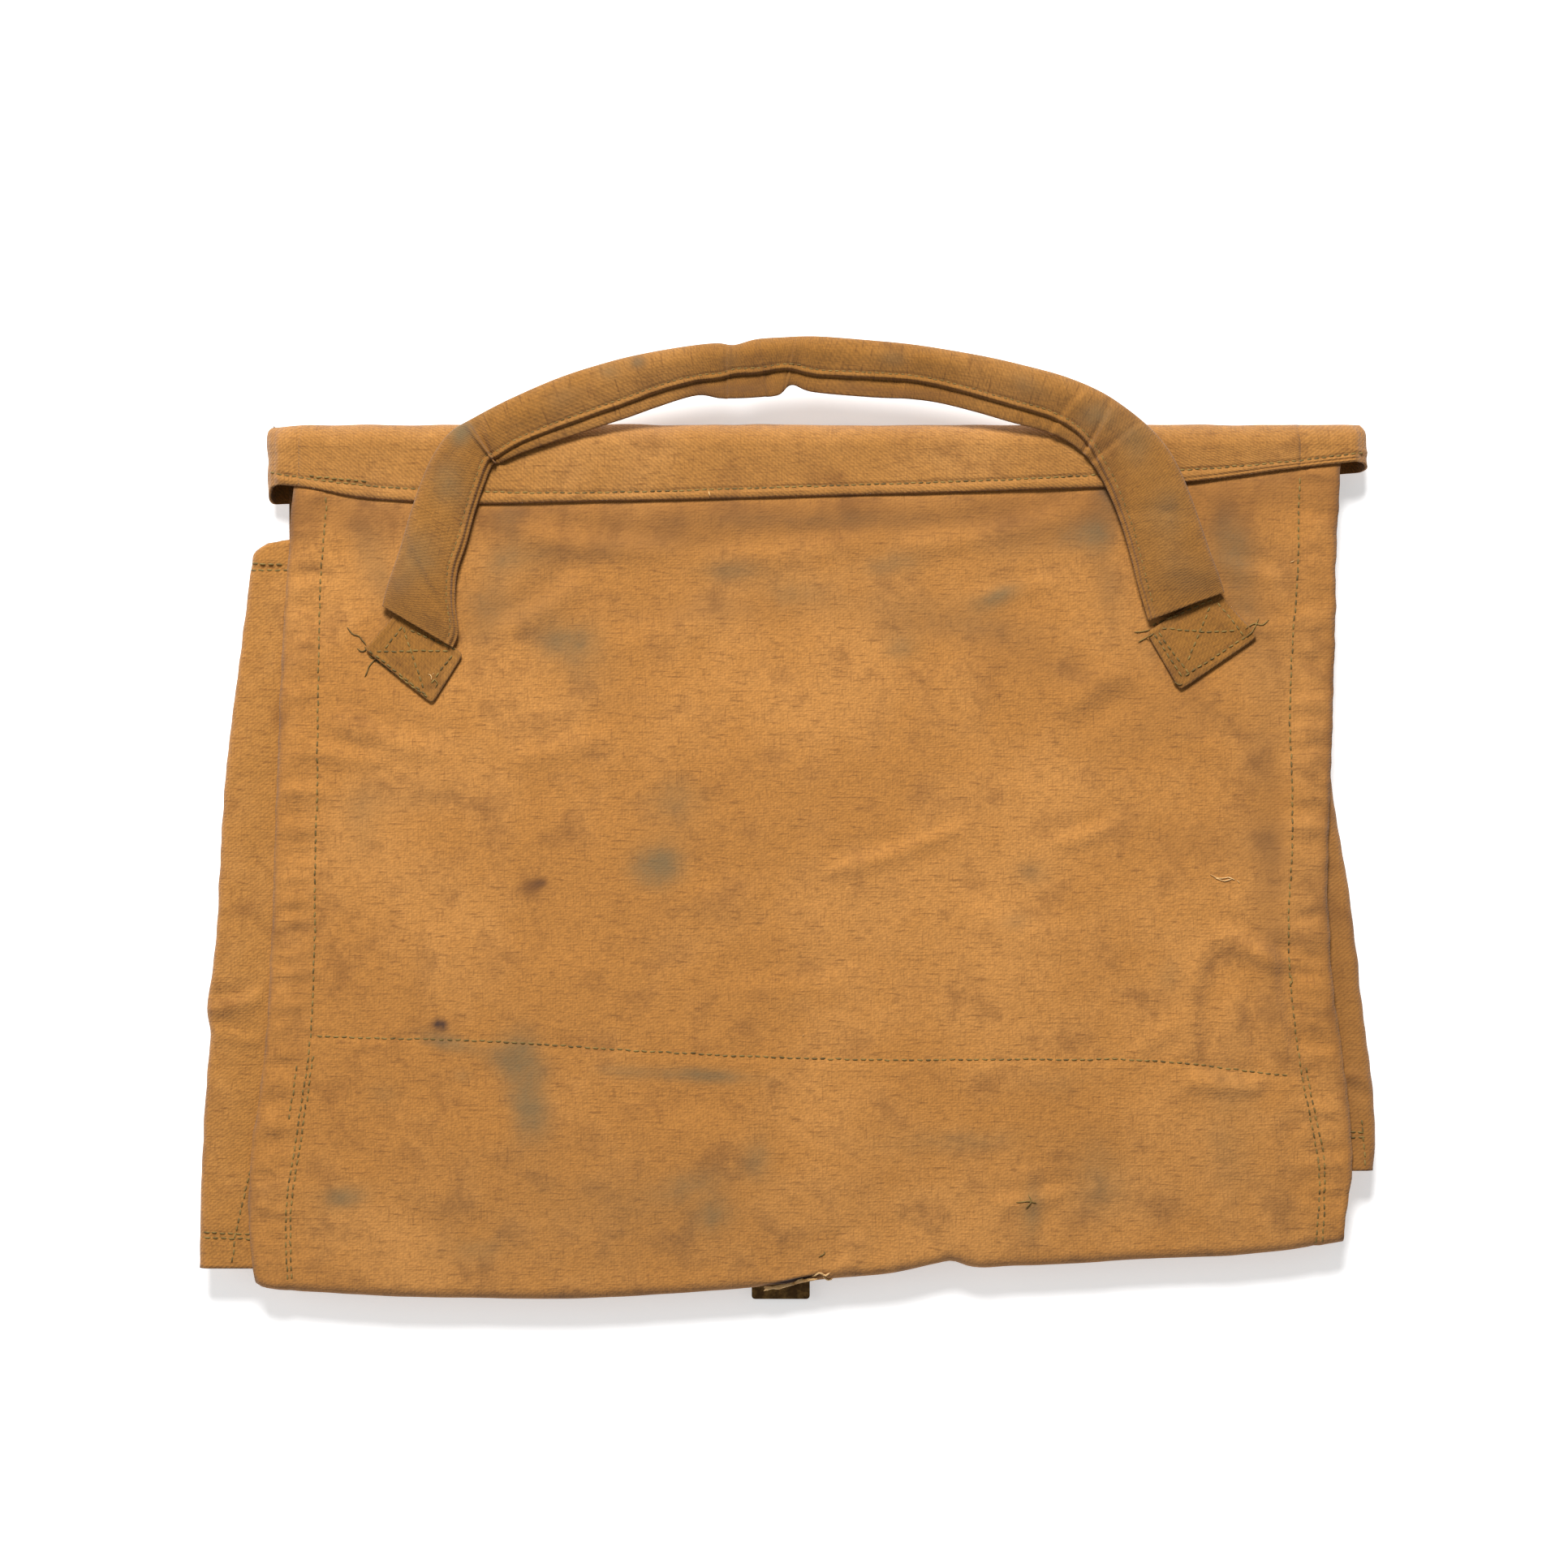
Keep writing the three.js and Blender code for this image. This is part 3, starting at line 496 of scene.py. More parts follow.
def grime_and_shade(x, y, spots=STAINS_AND_SHADE):
    """How much grey, brown and black each point of the cloth gets, from stains and from painted shade."""
    total = np.zeros((len(x), 3))
    for sx, sy, rx, ry, turn, grey, brown, black in spots:
        c, s = math.cos(math.radians(turn)), math.sin(math.radians(turn))
        dx, dy = x - sx, y - sy
        amount = np.exp(-((dx * c + dy * s) / rx) ** 2 - ((dy * c - dx * s) / ry) ** 2)
        total += amount[:, None] * [grey, brown, black]
    return total


def soil_and_shade(obj, extra=0.0, with_stains_and_shade=True, spots=STAINS_AND_SHADE):
    """Stores the stains and painted shade on a piece, with a painted shadow below the lid's band on the
    panel. extra is an even film of brown over all of it.
    """
    co = np.zeros(len(obj.data.vertices) * 3)
    obj.data.vertices.foreach_get("co", co)
    co = co.reshape(-1, 3) / MM
    values = grime_and_shade(co[:, 0], co[:, 1], spots) if with_stains_and_shade else np.zeros((len(co), 3))
    values[:, 1] += extra
    if with_stains_and_shade and spots is STAINS_AND_SHADE:
        inside, _ = edge_distance(co[:, 0], co[:, 1])
        # Darker brown along the panel's edges and over the strip out to its seams.
        values[:, 1] += 0.35 * bump(inside, 2.2) + 0.1 * smooth(14, 6, inside)
        # Painted shadow: brown over about 25 mm below the lid band's edge, and a near-black line just under
        # it.
        shade_line = co[:, 1] - along(BAND_EDGE, co[:, 0])
        values[:, 1] += 0.45 * smooth(-26, -4, shade_line) * smooth(1, -3, shade_line)
        values[:, 2] += 0.25 * smooth(-7, -1, shade_line) * smooth(1, 0, shade_line)
        # Greyer towards the base.
        values[:, 0] += 0.18 * smooth(-80, -140, co[:, 1])
    store(obj, "grime_and_shade", values)
    return obj


# ------------------------------------------------------------------ materials
WAVES = 3.183  # bands that a wave texture draws in each unit of its vector, at a scale of 1


def linear(code):
    """An sRGB hex colour as the linear RGBA that nodes take."""
    parts = [int(code[i:i + 2], 16) / 255 for i in (1, 3, 5)]
    return [c / 12.92 if c <= 0.04045 else ((c + 0.055) / 1.055) ** 2.4 for c in parts] + [1.0]


def node(tree, kind, inputs=None, **settings):
    """Adds a node with its settings, and links or sets its inputs."""
    made = tree.nodes.new(kind)
    for name, value in settings.items():
        setattr(made, name, value)
    for name, value in (inputs or {}).items():
        if isinstance(value, bpy.types.NodeSocket):
            tree.links.new(value, made.inputs[name])
        else:
            made.inputs[name].default_value = value
    return made


def material(name, surface):
    """A new material with a Principled surface of these constant values, and its node tree."""
    made = bpy.data.materials.new(name)
    made.use_nodes = True
    tree = made.node_tree
    tree.nodes.clear()
    shader = node(tree, "ShaderNodeBsdfPrincipled", surface)
    node(tree, "ShaderNodeOutputMaterial", {"Surface": shader.outputs[0]})
    return made, tree, shader


def tinted(tree, colour, tint, pattern, low, high, most=1.0):
    """Lays a tint over a colour where a pattern rises from low to high, up to a share of most."""
    amount = node(tree, "ShaderNodeMapRange", {
        "Value": pattern, "From Min": low, "From Max": high, "To Max": most},
        interpolation_type="SMOOTHSTEP").outputs[0]
    return node(tree, "ShaderNodeMix", {0: amount, 6: colour, 7: linear(tint)}, data_type="RGBA").outputs[2]


def cotton_duck(name, ground, faded, dark, twill=0.5, grime_and_shade_share=1.0):
    """Cotton canvas, plain woven from thick uneven yarn and dyed khaki. It is dry and matt with a soft
    bloom of loose fibre. Its yarns are 0.6 mm apart, too fine to show one by one, so the weave is drawn as
    the 1.15 mm diagonal and the short slubs that the yarn's thick places give."""
    made, tree, shader = material(name, {
        "Roughness": 0.92, "Sheen Weight": 0.12, "Sheen Roughness": 0.6, "Specular IOR Level": 0.2})
    weave = node(tree, "ShaderNodeAttribute", attribute_name="weave").outputs["Vector"]
    place = node(tree, "ShaderNodeAttribute", attribute_name="place").outputs["Vector"]
    grime_and_shade_channels = node(tree, "ShaderNodeSeparateXYZ", {
        0: node(tree, "ShaderNodeAttribute", attribute_name="grime_and_shade").outputs["Vector"]})

    yarns = []  # each as long and as wide as its thick places, in metres
    for x, y, detail in (
            (0.007, 0.00085, 2.0), (0.00085, 0.007, 2.0), (0.003, 0.00055, 1.0), (0.00055, 0.003, 1.0)):
        drawn_out = node(tree, "ShaderNodeMapping", {"Vector": weave, "Scale": (1 / x, 1 / y, 1)})
        yarns.append(node(tree, "ShaderNodeTexNoise", {
            "Vector": drawn_out.outputs[0], "Scale": 1.0, "Detail": detail}).outputs["Fac"])
    slub_weft, slub_warp, weft, warp = yarns
    grain = node(tree, "ShaderNodeMath", {0: weft, 1: warp}, operation="ADD").outputs[0]
    grain = node(tree, "ShaderNodeMath", {0: grain, 1: 0.5}, operation="MULTIPLY").outputs[0]
    turned = node(tree, "ShaderNodeMapping", {"Vector": weave, "Rotation": (0, 0, math.radians(-38))})
    diagonal = node(tree, "ShaderNodeTexWave", {
        "Vector": turned.outputs[0], "Scale": 1 / 0.00115 / WAVES, "Distortion": 2.2, "Detail": 1.0,
        "Detail Scale": 3.0}, bands_direction="Y").outputs["Fac"]
    mottle, blotch = (node(tree, "ShaderNodeTexNoise", {
        "Vector": place, "Scale": 1 / size, "Detail": detail, "Roughness": rough}).outputs["Fac"]
        for size, detail, rough in ((0.055, 5.0, 0.62), (0.014, 4.0, 0.6)))

    colour = tinted(tree, linear(ground), faded, mottle, 0.42, 0.66)
    colour = tinted(tree, colour, dark, blotch, 0.48, 0.76, 0.55)
    colour = tinted(tree, colour, dark, slub_weft, 0.54, 0.74, 0.6)
    colour = tinted(tree, colour, dark, slub_warp, 0.56, 0.76, 0.4)
    for pattern, low, high, least, most in (
            (grain, 0.34, 0.66, 0.85, 1.13), (diagonal, 0.1, 0.9, 1 - 0.09 * twill, 1 + 0.07 * twill)):
        light = node(tree, "ShaderNodeMapRange", {
            "Value": pattern, "From Min": low, "From Max": high, "To Min": least, "To Max": most},
            interpolation_type="SMOOTHSTEP").outputs[0]
        grey = node(tree, "ShaderNodeCombineColor", {0: light, 1: light, 2: light}).outputs[0]
        colour = node(tree, "ShaderNodeMix", {0: 1.0, 6: colour, 7: grey},
                      data_type="RGBA", blend_type="MULTIPLY").outputs[2]
    uneven = 0.0
    for pattern, share in ((blotch, 0.9), (grain, 0.5)):
        uneven = node(tree, "ShaderNodeMath", {0: pattern, 1: share, 2: uneven},
                      operation="MULTIPLY_ADD").outputs[0]
    # Lays the stored grey, brown and near-black over the colour: stains, and the painted shade stored with
    # them.
    for channel, tint, most in ((1, "#6f4720", 0.9), (0, "#66563a", 0.85), (2, "#35241f", 0.95)):
        amount = node(tree, "ShaderNodeMath", {0: grime_and_shade_channels.outputs[channel], 1: uneven}, operation="MULTIPLY")
        colour = tinted(tree, colour, tint, amount.outputs[0], 0.03, 0.72, most * grime_and_shade_share)
    tree.links.new(colour, shader.inputs["Base Color"])

    height = 0.0
    for pattern, share in ((diagonal, 0.3 * twill), (grain, 0.7), (slub_weft, 0.5), (slub_warp, 0.4)):
        height = node(tree, "ShaderNodeMath", {0: pattern, 1: share, 2: height},
                      operation="MULTIPLY_ADD").outputs[0]
    bumped = node(tree, "ShaderNodeBump", {"Height": height, "Strength": 0.55, "Distance": 0.0005})
    tree.links.new(bumped.outputs[0], shader.inputs["Normal"])
    return made


def cotton_webbing(name, ground, dark):
    """Flat woven cotton tape for the strap. Its weft makes ribs 1.6 mm apart that run across it."""
    made, tree, shader = material(name, {"Roughness": 0.88, "Sheen Weight": 0.1, "Specular IOR Level": 0.25})
    weave = node(tree, "ShaderNodeAttribute", attribute_name="weave").outputs["Vector"]
    ribs = node(tree, "ShaderNodeTexWave", {
        "Vector": weave, "Scale": 1 / 0.0016 / WAVES, "Distortion": 0.6, "Detail": 2.0},
        bands_direction="Y").outputs["Fac"]
    wear = node(tree, "ShaderNodeTexNoise", {"Vector": weave, "Scale": 1 / 0.012, "Detail": 5.0})
    colour = tinted(tree, linear(ground), dark, wear.outputs["Fac"], 0.4, 0.7)
    colour = tinted(tree, colour, dark, ribs, 0.3, 0.0, 0.6)
    tree.links.new(colour, shader.inputs["Base Color"])
    bumped = node(tree, "ShaderNodeBump", {"Height": ribs, "Strength": 0.6, "Distance": 0.0003})
    tree.links.new(bumped.outputs[0], shader.inputs["Normal"])
    return made


def linen_thread(name, ground, dark):
    """Waxed linen sewing thread, twisted from plies. It has a faint wax shine, and is dirtier in places."""
    made, tree, shader = material(name, {"Roughness": 0.7, "Specular IOR Level": 0.35})
    place = node(tree, "ShaderNodeAttribute", attribute_name="place").outputs["Vector"]
    dirt, twist = (node(tree, "ShaderNodeTexNoise", {
        "Vector": place, "Scale": 1 / size, "Detail": detail}).outputs["Fac"]
        for size, detail in ((0.004, 3.0), (0.0005, 1.0)))
    colour = tinted(tree, linear(ground), dark, dirt, 0.35, 0.7)
    tree.links.new(colour, shader.inputs["Base Color"])
    bumped = node(tree, "ShaderNodeBump", {"Height": twist, "Strength": 0.5, "Distance": 0.0002})
    tree.links.new(bumped.outputs[0], shader.inputs["Normal"])
    return made


def aged_brass(name):
    """Pressed sheet brass gone brown with age: dull, with a little bare metal where it has rubbed."""
    made, tree, shader = material(name, {"Metallic": 0.85})
    place = node(tree, "ShaderNodeTexCoord").outputs["Object"]
    patina, pits = (node(tree, "ShaderNodeTexNoise", {
        "Vector": place, "Scale": 1 / size, "Detail": detail, "Roughness": rough}).outputs["Fac"]
        for size, detail, rough in ((0.004, 6.0, 0.65), (0.0007, 2.0, 0.5)))
    colour = tinted(tree, linear("#5b4326"), "#8a6a3a", patina, 0.42, 0.68)
    colour = tinted(tree, colour, "#33261a", pits, 0.6, 0.75, 0.7)
    tree.links.new(colour, shader.inputs["Base Color"])
    rubbed = node(tree, "ShaderNodeMapRange", {
        "Value": patina, "From Min": 0.3, "From Max": 0.7, "To Min": 0.62, "To Max": 0.4},
        interpolation_type="SMOOTHSTEP")
    tree.links.new(rubbed.outputs[0], shader.inputs["Roughness"])
    bumped = node(tree, "ShaderNodeBump", {"Height": pits, "Strength": 0.35, "Distance": 0.0002})
    tree.links.new(bumped.outputs[0], shader.inputs["Normal"])
    return made


def finish(name):
    """The material of that name, made on first use from the scene's settings."""
    settings = bpy.context.scene.mail_sack
    known = bpy.data.materials.get(name)
    if known:
        return known
    khaki = settings.canvas, settings.canvas_faded, settings.canvas_dark
    makers = {
        "canvas_khaki": lambda: cotton_duck(name, *khaki),
        "canvas_lid": lambda: cotton_duck(name, "#92632c", "#9d6d36", "#6c441c", 1.0),
        "canvas_handle": lambda: cotton_duck(name, settings.handle, "#8d602a", "#5e3a15", 0.8),
        "canvas_gusset": lambda: cotton_duck(name, "#99672d", "#a37036", "#70461d", 0.8),
        # Painted shade: a darker copy of the canvas for the hems, linings, facing and patches inside the
        # sack, where shade falls.
        "canvas_inside_shaded": lambda: cotton_duck(name, "#7f562d", "#896136", "#5d3d1d", 0.6),
        "webbing_khaki": lambda: cotton_webbing(name, "#6b5530", "#4e3b20"),
        "thread_olive": lambda: linen_thread(name, settings.thread, "#55431f"),
        "thread_straw": lambda: linen_thread(name, "#d6b07a", "#b78a50"),
        "brass_aged": lambda: aged_brass(name),
    }
    return makers[name]()


# ------------------------------------------------------------------ the sack's body
def folded_panel(u, v):
    """The back panel, round the base fold and up the front, as one length of cloth."""
    t = np.interp(v, [0, 0.74, 0.81, 1], [0, 0.517, 0.543, 1])
    top, mouth, outer = 131.2, MOUTH_Y, FRONT
    y0, _, _ = hairpin(top, mouth, -160.0, outer, BACK, t)
    share = (FOLD_LINE - y0) / SACK_HEIGHT
    shift = smooth(0.535, 0.6, t) * lerp(*FRONT_SHIFT, share)
    left = along(LEFT_EDGE, y0) + 0.5 * ripple(y0, 0 * y0, 13, 22) + 0.25 * ripple(y0, 0 * y0, 5, 23)
    right = along(RIGHT_EDGE, y0) + 0.5 * ripple(y0, 0 * y0, 13, 24) + 0.25 * ripple(y0, 0 * y0, 5, 25)
    x_nominal = lerp(left, right, u)
    x = x_nominal - shift
    apex = along(BASE_EDGE, x_nominal)
    y, z, run = hairpin(top, mouth, apex, outer, BACK, t)
    relief = panel_relief(x, y)
    covered = smooth(-2, 9, y - along(BAND_EDGE, x))
    relief = lerp(relief, 0.1 + 0.1 * relief, covered)
    facing = np.clip((z - outer) / (BACK - outer), 0, 1)
    turning = np.sqrt(np.clip(1 - (2 * facing - 1) ** 2, 0, 1))
    z = z + relief * smooth(0.35, 1.0, facing)
    y = y - 0.5 * relief * turning * smooth(0.2, 0.6, facing)
    z = z - 0.12 * (1 + ripple(x, y, 60, 21)) * smooth(0.3, 0, facing)
    return (x, y, z), (x, -run)


GUSSET_FOLDS = [
    ((-204, -66), (-184, -62), 2.6, 1.1), ((-203, -73), (-186, -78), 2.4, 0.7),
    ((206, -94), (196, -88), 2.5, 0.8),
]


def side_gusset(side):
    """A gusset's cloth, folded in half between the two panels, standing out past their edges."""
    edge, apexes = (LEFT_EDGE, LEFT_FOLD) if side < 0 else (RIGHT_EDGE, RIGHT_FOLD)
    bottom, top = (-157.2, 98.6) if side < 0 else (-123.0, 98.4)

    def shape(u, v):
        t = 1 - u if side < 0 else u
        y = lerp(top, bottom, v)
        if side < 0:
            y = y + 0.8 * smooth(0.04, 0, v) * np.sin(t * 9)
        panel = along(edge, y)
        share = (FOLD_LINE - y) / SACK_HEIGHT
        apex = along(apexes, y) + 0.35 * ripple(y, 0 * y, 9, 31 + side)
        inner = panel - side * 12.0
        x, z, run = hairpin(inner, inner - lerp(*FRONT_SHIFT, share), apex, FACING, LINING, t)
        up = smooth(FACING + 1, LINING - 0.3, z)
        outside = smooth(-2.5, 2.5, side * (x - panel))
        relief = 0.5 * ripple(x, y * 0.7, 22, 33 + side) + 0.22 * ripple(x * 0.6, y, 9, 35 + side)
        for crease in GUSSET_FOLDS:
            relief = relief + fold(x, y, *crease)
        if side < 0:
            relief = relief - 0.5 * bump(y - 89.2, 0.7) + 0.5 * smooth(88.8, 89.8, y)
            relief = relief - 0.4 * bump(y + 144.8, 0.8) * smooth(-186, -190, x)
        else:
            relief = relief - 0.9
        under_panel = np.minimum(panel_relief(x, y) - 0.3, 0.2)
        z = z + up * lerp(under_panel, np.clip(relief, -1.4, 1.2), outside)
        z = z + (1 - up) * 0.2 * ripple(x, y, 30, 37)
        return (x, y, z), (side * run, y)

    return shape


# ------------------------------------------------------------------ the lid
def band_height(x, y):
    """The top of the lid's band, and of the roll that it turns into."""
    into = np.clip((y - ROLL_Y) / (fold_line(x) - ROLL_Y), 0, 1)
    rolled = FOLD_RADIUS + (BAND - FOLD_RADIUS) * np.sqrt(1 - into ** 2)
    settle = lerp(panel_relief(x, y), 0.3, smooth(0, 12, y - along(BAND_EDGE, x)))
    return rolled + (band_relief(x, y) + 0.7 * np.maximum(settle, -0.2)) * np.sqrt(1 - into ** 4)


def fold_line(x):
    """The line of the rolled edge, a little uneven."""
    waves = 0.5 * ripple(x, 0 * x, 48, 41) + 0.2 * ripple(x, 0 * x, 17, 42)
    return FOLD_Y - 0.35 + waves - 0.9 * bump(x + 183, 9)


def lid_cloth(u, v):
    """The lid as one cloth: the leaf under the sack, the roll at the top, and the band sewn to the back."""
    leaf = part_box("lid_leaf")
    part = np.interp(v, [0, 0.34, 0.74, 1], [0, 1, 2, 3])
    leaf_y = lerp(LEAF_Y, ROLL_Y, np.clip(part, 0, 1))
    leaf_x = lerp(leaf[0].x / MM + 3, leaf[1].x / MM - 3, u)
    short = np.clip(LEAF_Y + LEAF_CORNER - leaf_y, 0, LEAF_CORNER) / LEAF_CORNER
    corner = np.sqrt(1 - short ** 2)
    middle = (leaf[0].x + leaf[1].x) / 2 / MM
    drawn_in = LEAF_CORNER * (1 - corner) * smooth(0.5, 1, np.abs(2 * u - 1))
    leaf_x = leaf_x + np.sign(middle - leaf_x) * drawn_in
    band_x = lerp(LEFT_CREASE, RIGHT_CREASE, u)
    x = lerp(leaf_x, band_x, smooth(0.6, 1.6, part))
    angle = np.clip(part - 1, 0, 1) * math.pi
    reach = fold_line(x) - ROLL_Y
    down = np.clip(part - 2, 0, 1)
    y = np.where(part < 1, leaf_y, ROLL_Y + reach * np.sin(angle))
    y = np.where(part > 2, lerp(ROLL_Y, along(BAND_EDGE, x), down), y)
    z = FOLD_RADIUS - FOLD_RADIUS * np.cos(angle)
    z = np.where(part < 1, 0.0, z)
    upper = smooth(1.45, 2.0, part)
    z = lerp(z, band_height(x, y), upper)
    y = y + 0.3 * ripple(x, part * 30, 14, 43) * np.sin(angle) ** 2
    run = np.where(part < 1, leaf_y, ROLL_Y + (part - 1) * ROLL_LENGTH)
    run = np.where(part > 2, ROLL_Y + ROLL_LENGTH + down * BAND_LENGTH, run)
    return (x, y, np.maximum(z, 0.0)), (x, run)


def lid_end(side):
    """A hooded end of the lid: its cloth turned under at the side, and open towards the base."""
    crease, apex = (LEFT_CREASE, -183.3) if side < 0 else (RIGHT_CREASE, 204.6)

    def shape(u, v):
        t = 1 - u if side < 0 else u
        start = crease - side * 2.5
        back = crease - side * (1.0 if side < 0 else 0.0)
        tip = apex - side * 2.2 * smooth(0.35, 0.0, v) ** 2 + 0.3 * ripple(40 * v, 0 * v, 9, 46)
        low = 1.5
        x, z, run = hairpin(start, back, tip, low, BAND, t)
        turned = np.clip((BAND - z) / (BAND - low), 0, 1)
        drop = 0.5 + (5.5 if side < 0 else 2.6) * np.sin(np.clip(turned, 0, 1) * math.pi * 0.62) ** 2
        rim = along(BAND_EDGE, x) - drop * smooth(0.0, 0.35, turned)
        reach = fold_line(x) - ROLL_Y
        into = np.cos(np.clip(v / 0.42, 0, 1) * math.pi / 2)
        y = np.where(v < 0.42, ROLL_Y + reach * into, lerp(ROLL_Y, rim, np.clip((v - 0.42) / 0.58, 0, 1)))
        squeeze = np.sqrt(1 - into ** 2)
        top_z = band_height(x, y)
        z_round = lerp(FOLD_RADIUS, z, squeeze)
        tucked = 0.45 * smooth(0.3, -1.4, side * (x - crease))
        z = lerp(z_round, top_z - tucked, smooth(0.12, 0.0, turned))
        crumple = 0.9 * ripple(x * 0.8, y * 0.7 + 40 * turned, 10, 47 + side) * smooth(0.02, 0.3, turned)
        x = x + side * crumple * smooth(0.05, 0.5, turned) * 0.5
        z = z + crumple * 0.5 * squeeze
        return (x, y, np.maximum(z, 0.9)), (side * run, y)

    return shape


# ------------------------------------------------------------------ the handle
# Along the handle from its left foot to its right: the outer edge, the inner edge, and how far in from
# that edge the cover's sewn rim lies.
HANDLE_LINE = [
    (-141.8, 75.4, -117.0, 60.8, 1.4), (-140.4, 80.8, -115.2, 66.5, 1.4), (-138, 88, -116.2, 77, 1.4),
    (-135, 97, -115.4, 87.5, 1.5), (-131.8, 108, -112.2, 97.5, 1.5), (-128, 119, -109.4, 108, 1.5),
    (-123.4, 129, -106.2, 117.5, 1.6), (-117.6, 136.4, -103.2, 124.6, 1.8),
    (-109.4, 141.4, -100.4, 125.6, 2.2), (-97, 147.8, -90.6, 129.8, 3.4), (-79.5, 155.3, -72, 136, 4.2),
    (-62, 160.8, -56, 141.2, 4.6), (-48.5, 163.9, -43.5, 145.6, 4.8), (-34, 166.3, -31.5, 149, 4.6),
    (-24.5, 167.2, -23.5, 148, 6.6), (-18.6, 166.6, -17.2, 148, 8.0), (-10.8, 168.6, -10, 148.4, 8.0),
    (-1, 169.3, -3, 149.2, 8.6), (6, 169.6, 1.6, 152.6, 5.0), (14, 169.4, 9, 150.2, 5.8),
    (31.5, 168, 29, 148.4, 6.4), (43.5, 166.8, 42, 147.8, 6.2), (55.5, 165, 53, 146.4, 5.6),
    (70, 162.4, 66, 143.2, 5.4), (83, 159.4, 78.4, 139.6, 5.4), (97, 155.6, 90.5, 136.4, 5.0),
    (109.5, 150.4, 98.4, 132.8, 4.2), (119.4, 144, 103.8, 128.6, 3.0), (127.6, 137, 107.6, 123.8, 2.0),
    (133.8, 129.4, 110.8, 118.4, 1.7), (138.4, 120.6, 113.6, 112.4, 1.6), (142, 111.4, 116, 106.4, 1.5),
    (145.3, 102, 118.2, 99.6, 1.5), (148.5, 92.6, 120.6, 91, 1.5), (151.2, 85.6, 122.6, 83, 1.4),
    (153, 80.2, 126.4, 70.2, 1.4),
]


def station(name_columns, t):
    """A column of the handle's line at share t along it."""
    values = np.array(HANDLE_LINE)[:, name_columns]
    index = np.arange(len(values))
    return along(list(zip(index, values)), np.asarray(t) * (len(values) - 1))


def handle_section(t, across):
    """A point on the handle's top at share t along it and share across it, from its outer edge."""
    ox, oy = station(0, t), station(1, t)
    ix, iy = station(2, t), station(3, t)
    rim = station(4, t)
    width = np.hypot(ix - ox, iy - oy)
    x, y = lerp(ox, ix, across), lerp(oy, iy, across)
    end = smooth(-0.014, 0.07, t) * smooth(1.014, 0.94, t)
    arch = smooth(0.2, 0.36, t) * smooth(0.8, 0.68, t)
    half = lerp(2.9, 4.0, arch) * lerp(0.34, 1.0, end)
    from_outer = across * width
    from_inner = (1 - across) * width
    d = from_inner - rim
    round_outer = np.sqrt(np.clip(1 - (1 - np.clip(from_outer / 6.5, 0, 1)) ** 2, 0, 1))
    round_inner = np.sqrt(np.clip(1 - (1 - np.clip(from_inner / np.maximum(rim, 1.6), 0, 1)) ** 2, 0, 1))
    pad = half * round_outer * lerp(0.42, 1.0, smooth(0.0, 9.5, d))
    pad = pad + 0.28 * bump(d - 0.7, 0.7) - 0.42 * bump(d - 1.9, 0.6)
    under = half * (-0.42 + 0.4 * round_inner)
    step = smooth(-0.28, 0.28, d)
    height = lerp(under, pad, step) - 0.5 * bump(d + 0.35, 0.4)
    run = t * HANDLE_LENGTH
    height = height + end * round_outer * (
        0.42 * ripple(run, from_outer, 19, 51) + 0.2 * ripple(run, from_outer, 8, 52)) * smooth(-0.5, 2, d)
    height = height + arch * 0.35 * ripple(run, from_outer * 0.3, 11, 53) * bump(d - 1, 4)
    for place, lean, size, width_mm in KNEES:
        off = (t - place) * HANDLE_LENGTH + lean * (across - 0.5) * width
        ridge = smooth(-width_mm, 0, off) * bump(off, 2.6 * width_mm)
        hollow = 0.9 * bump(off + 1.3 * width_mm, width_mm)
        height = height + end * round_outer * size * (ridge - hollow)
    return x, y, height, half


# Creases across the handle: share along it, lean, height and width in millimetres.
KNEES = [
    (0.222, 0.1, -1.5, 1.5), (0.235, 0.45, -0.6, 1.2), (0.415, 0.1, 0.55, 1.4), (0.465, -0.2, -0.5, 1.2),
    (0.503, 0.1, 0.35, 1.3), (0.728, 0.3, 0.5, 1.8), (0.765, -0.35, 0.9, 1.6), (0.792, -0.1, 0.4, 2.0),
    (0.074, 1.3, 0.55, 5.0), (0.35, 0.2, 0.3, 2.0), (0.6, 0.2, 0.3, 2.5), (0.3, 0.3, 0.3, 2.2),
    (0.9, 0.4, 0.25, 4.5),
]


def handle_level(t, half):
    """The height of the handle's middle, so that it rests on its tabs, the sack and the lid."""
    foot = smooth(0.07, 0.03, t) + smooth(0.93, 0.97, t)
    return TUBE_Z - 4 + 0.55 * foot + half


def handle_rings():
    count, top, bottom = 470, 64, 22
    t = np.linspace(0, 1, count)[:, None]
    bend = (1 - np.cos(np.linspace(0, math.pi, top))) / 2
    across = lerp(bend, np.linspace(0, 1, top), 0.45)[None, :]
    x, y, height, half = handle_section(t, across)
    z = handle_level(t, half) + height
    lower = np.linspace(1, 0, bottom + 2)[1:-1][None, :]
    lower = (lerp((1 - np.cos(lower * math.pi)) / 2, lower, 0.3))
    lx, ly, _, half = handle_section(t, lower)
    belly = np.sqrt(np.clip(1 - np.abs(2 * lower - 1) ** 3.0, 0, 1))
    rest = lerp(0.0, -0.42 * half, lower)
    lz = handle_level(t, half) + rest - (half + rest) * belly
    ring_x, ring_y = np.concatenate([x, lx], 1), np.concatenate([y, ly], 1)
    ring_z = np.concatenate([z, lz], 1)
    girth = np.cumsum(np.hypot(np.diff(ring_x, axis=1, prepend=ring_x[:, :1]),
                               np.diff(ring_y, axis=1, prepend=ring_y[:, :1])), axis=1)
    weave = np.stack([girth, np.broadcast_to(t * HANDLE_LENGTH, girth.shape), np.zeros(girth.shape)], 2)
    return np.stack([ring_x, ring_y, ring_z], 2), weave


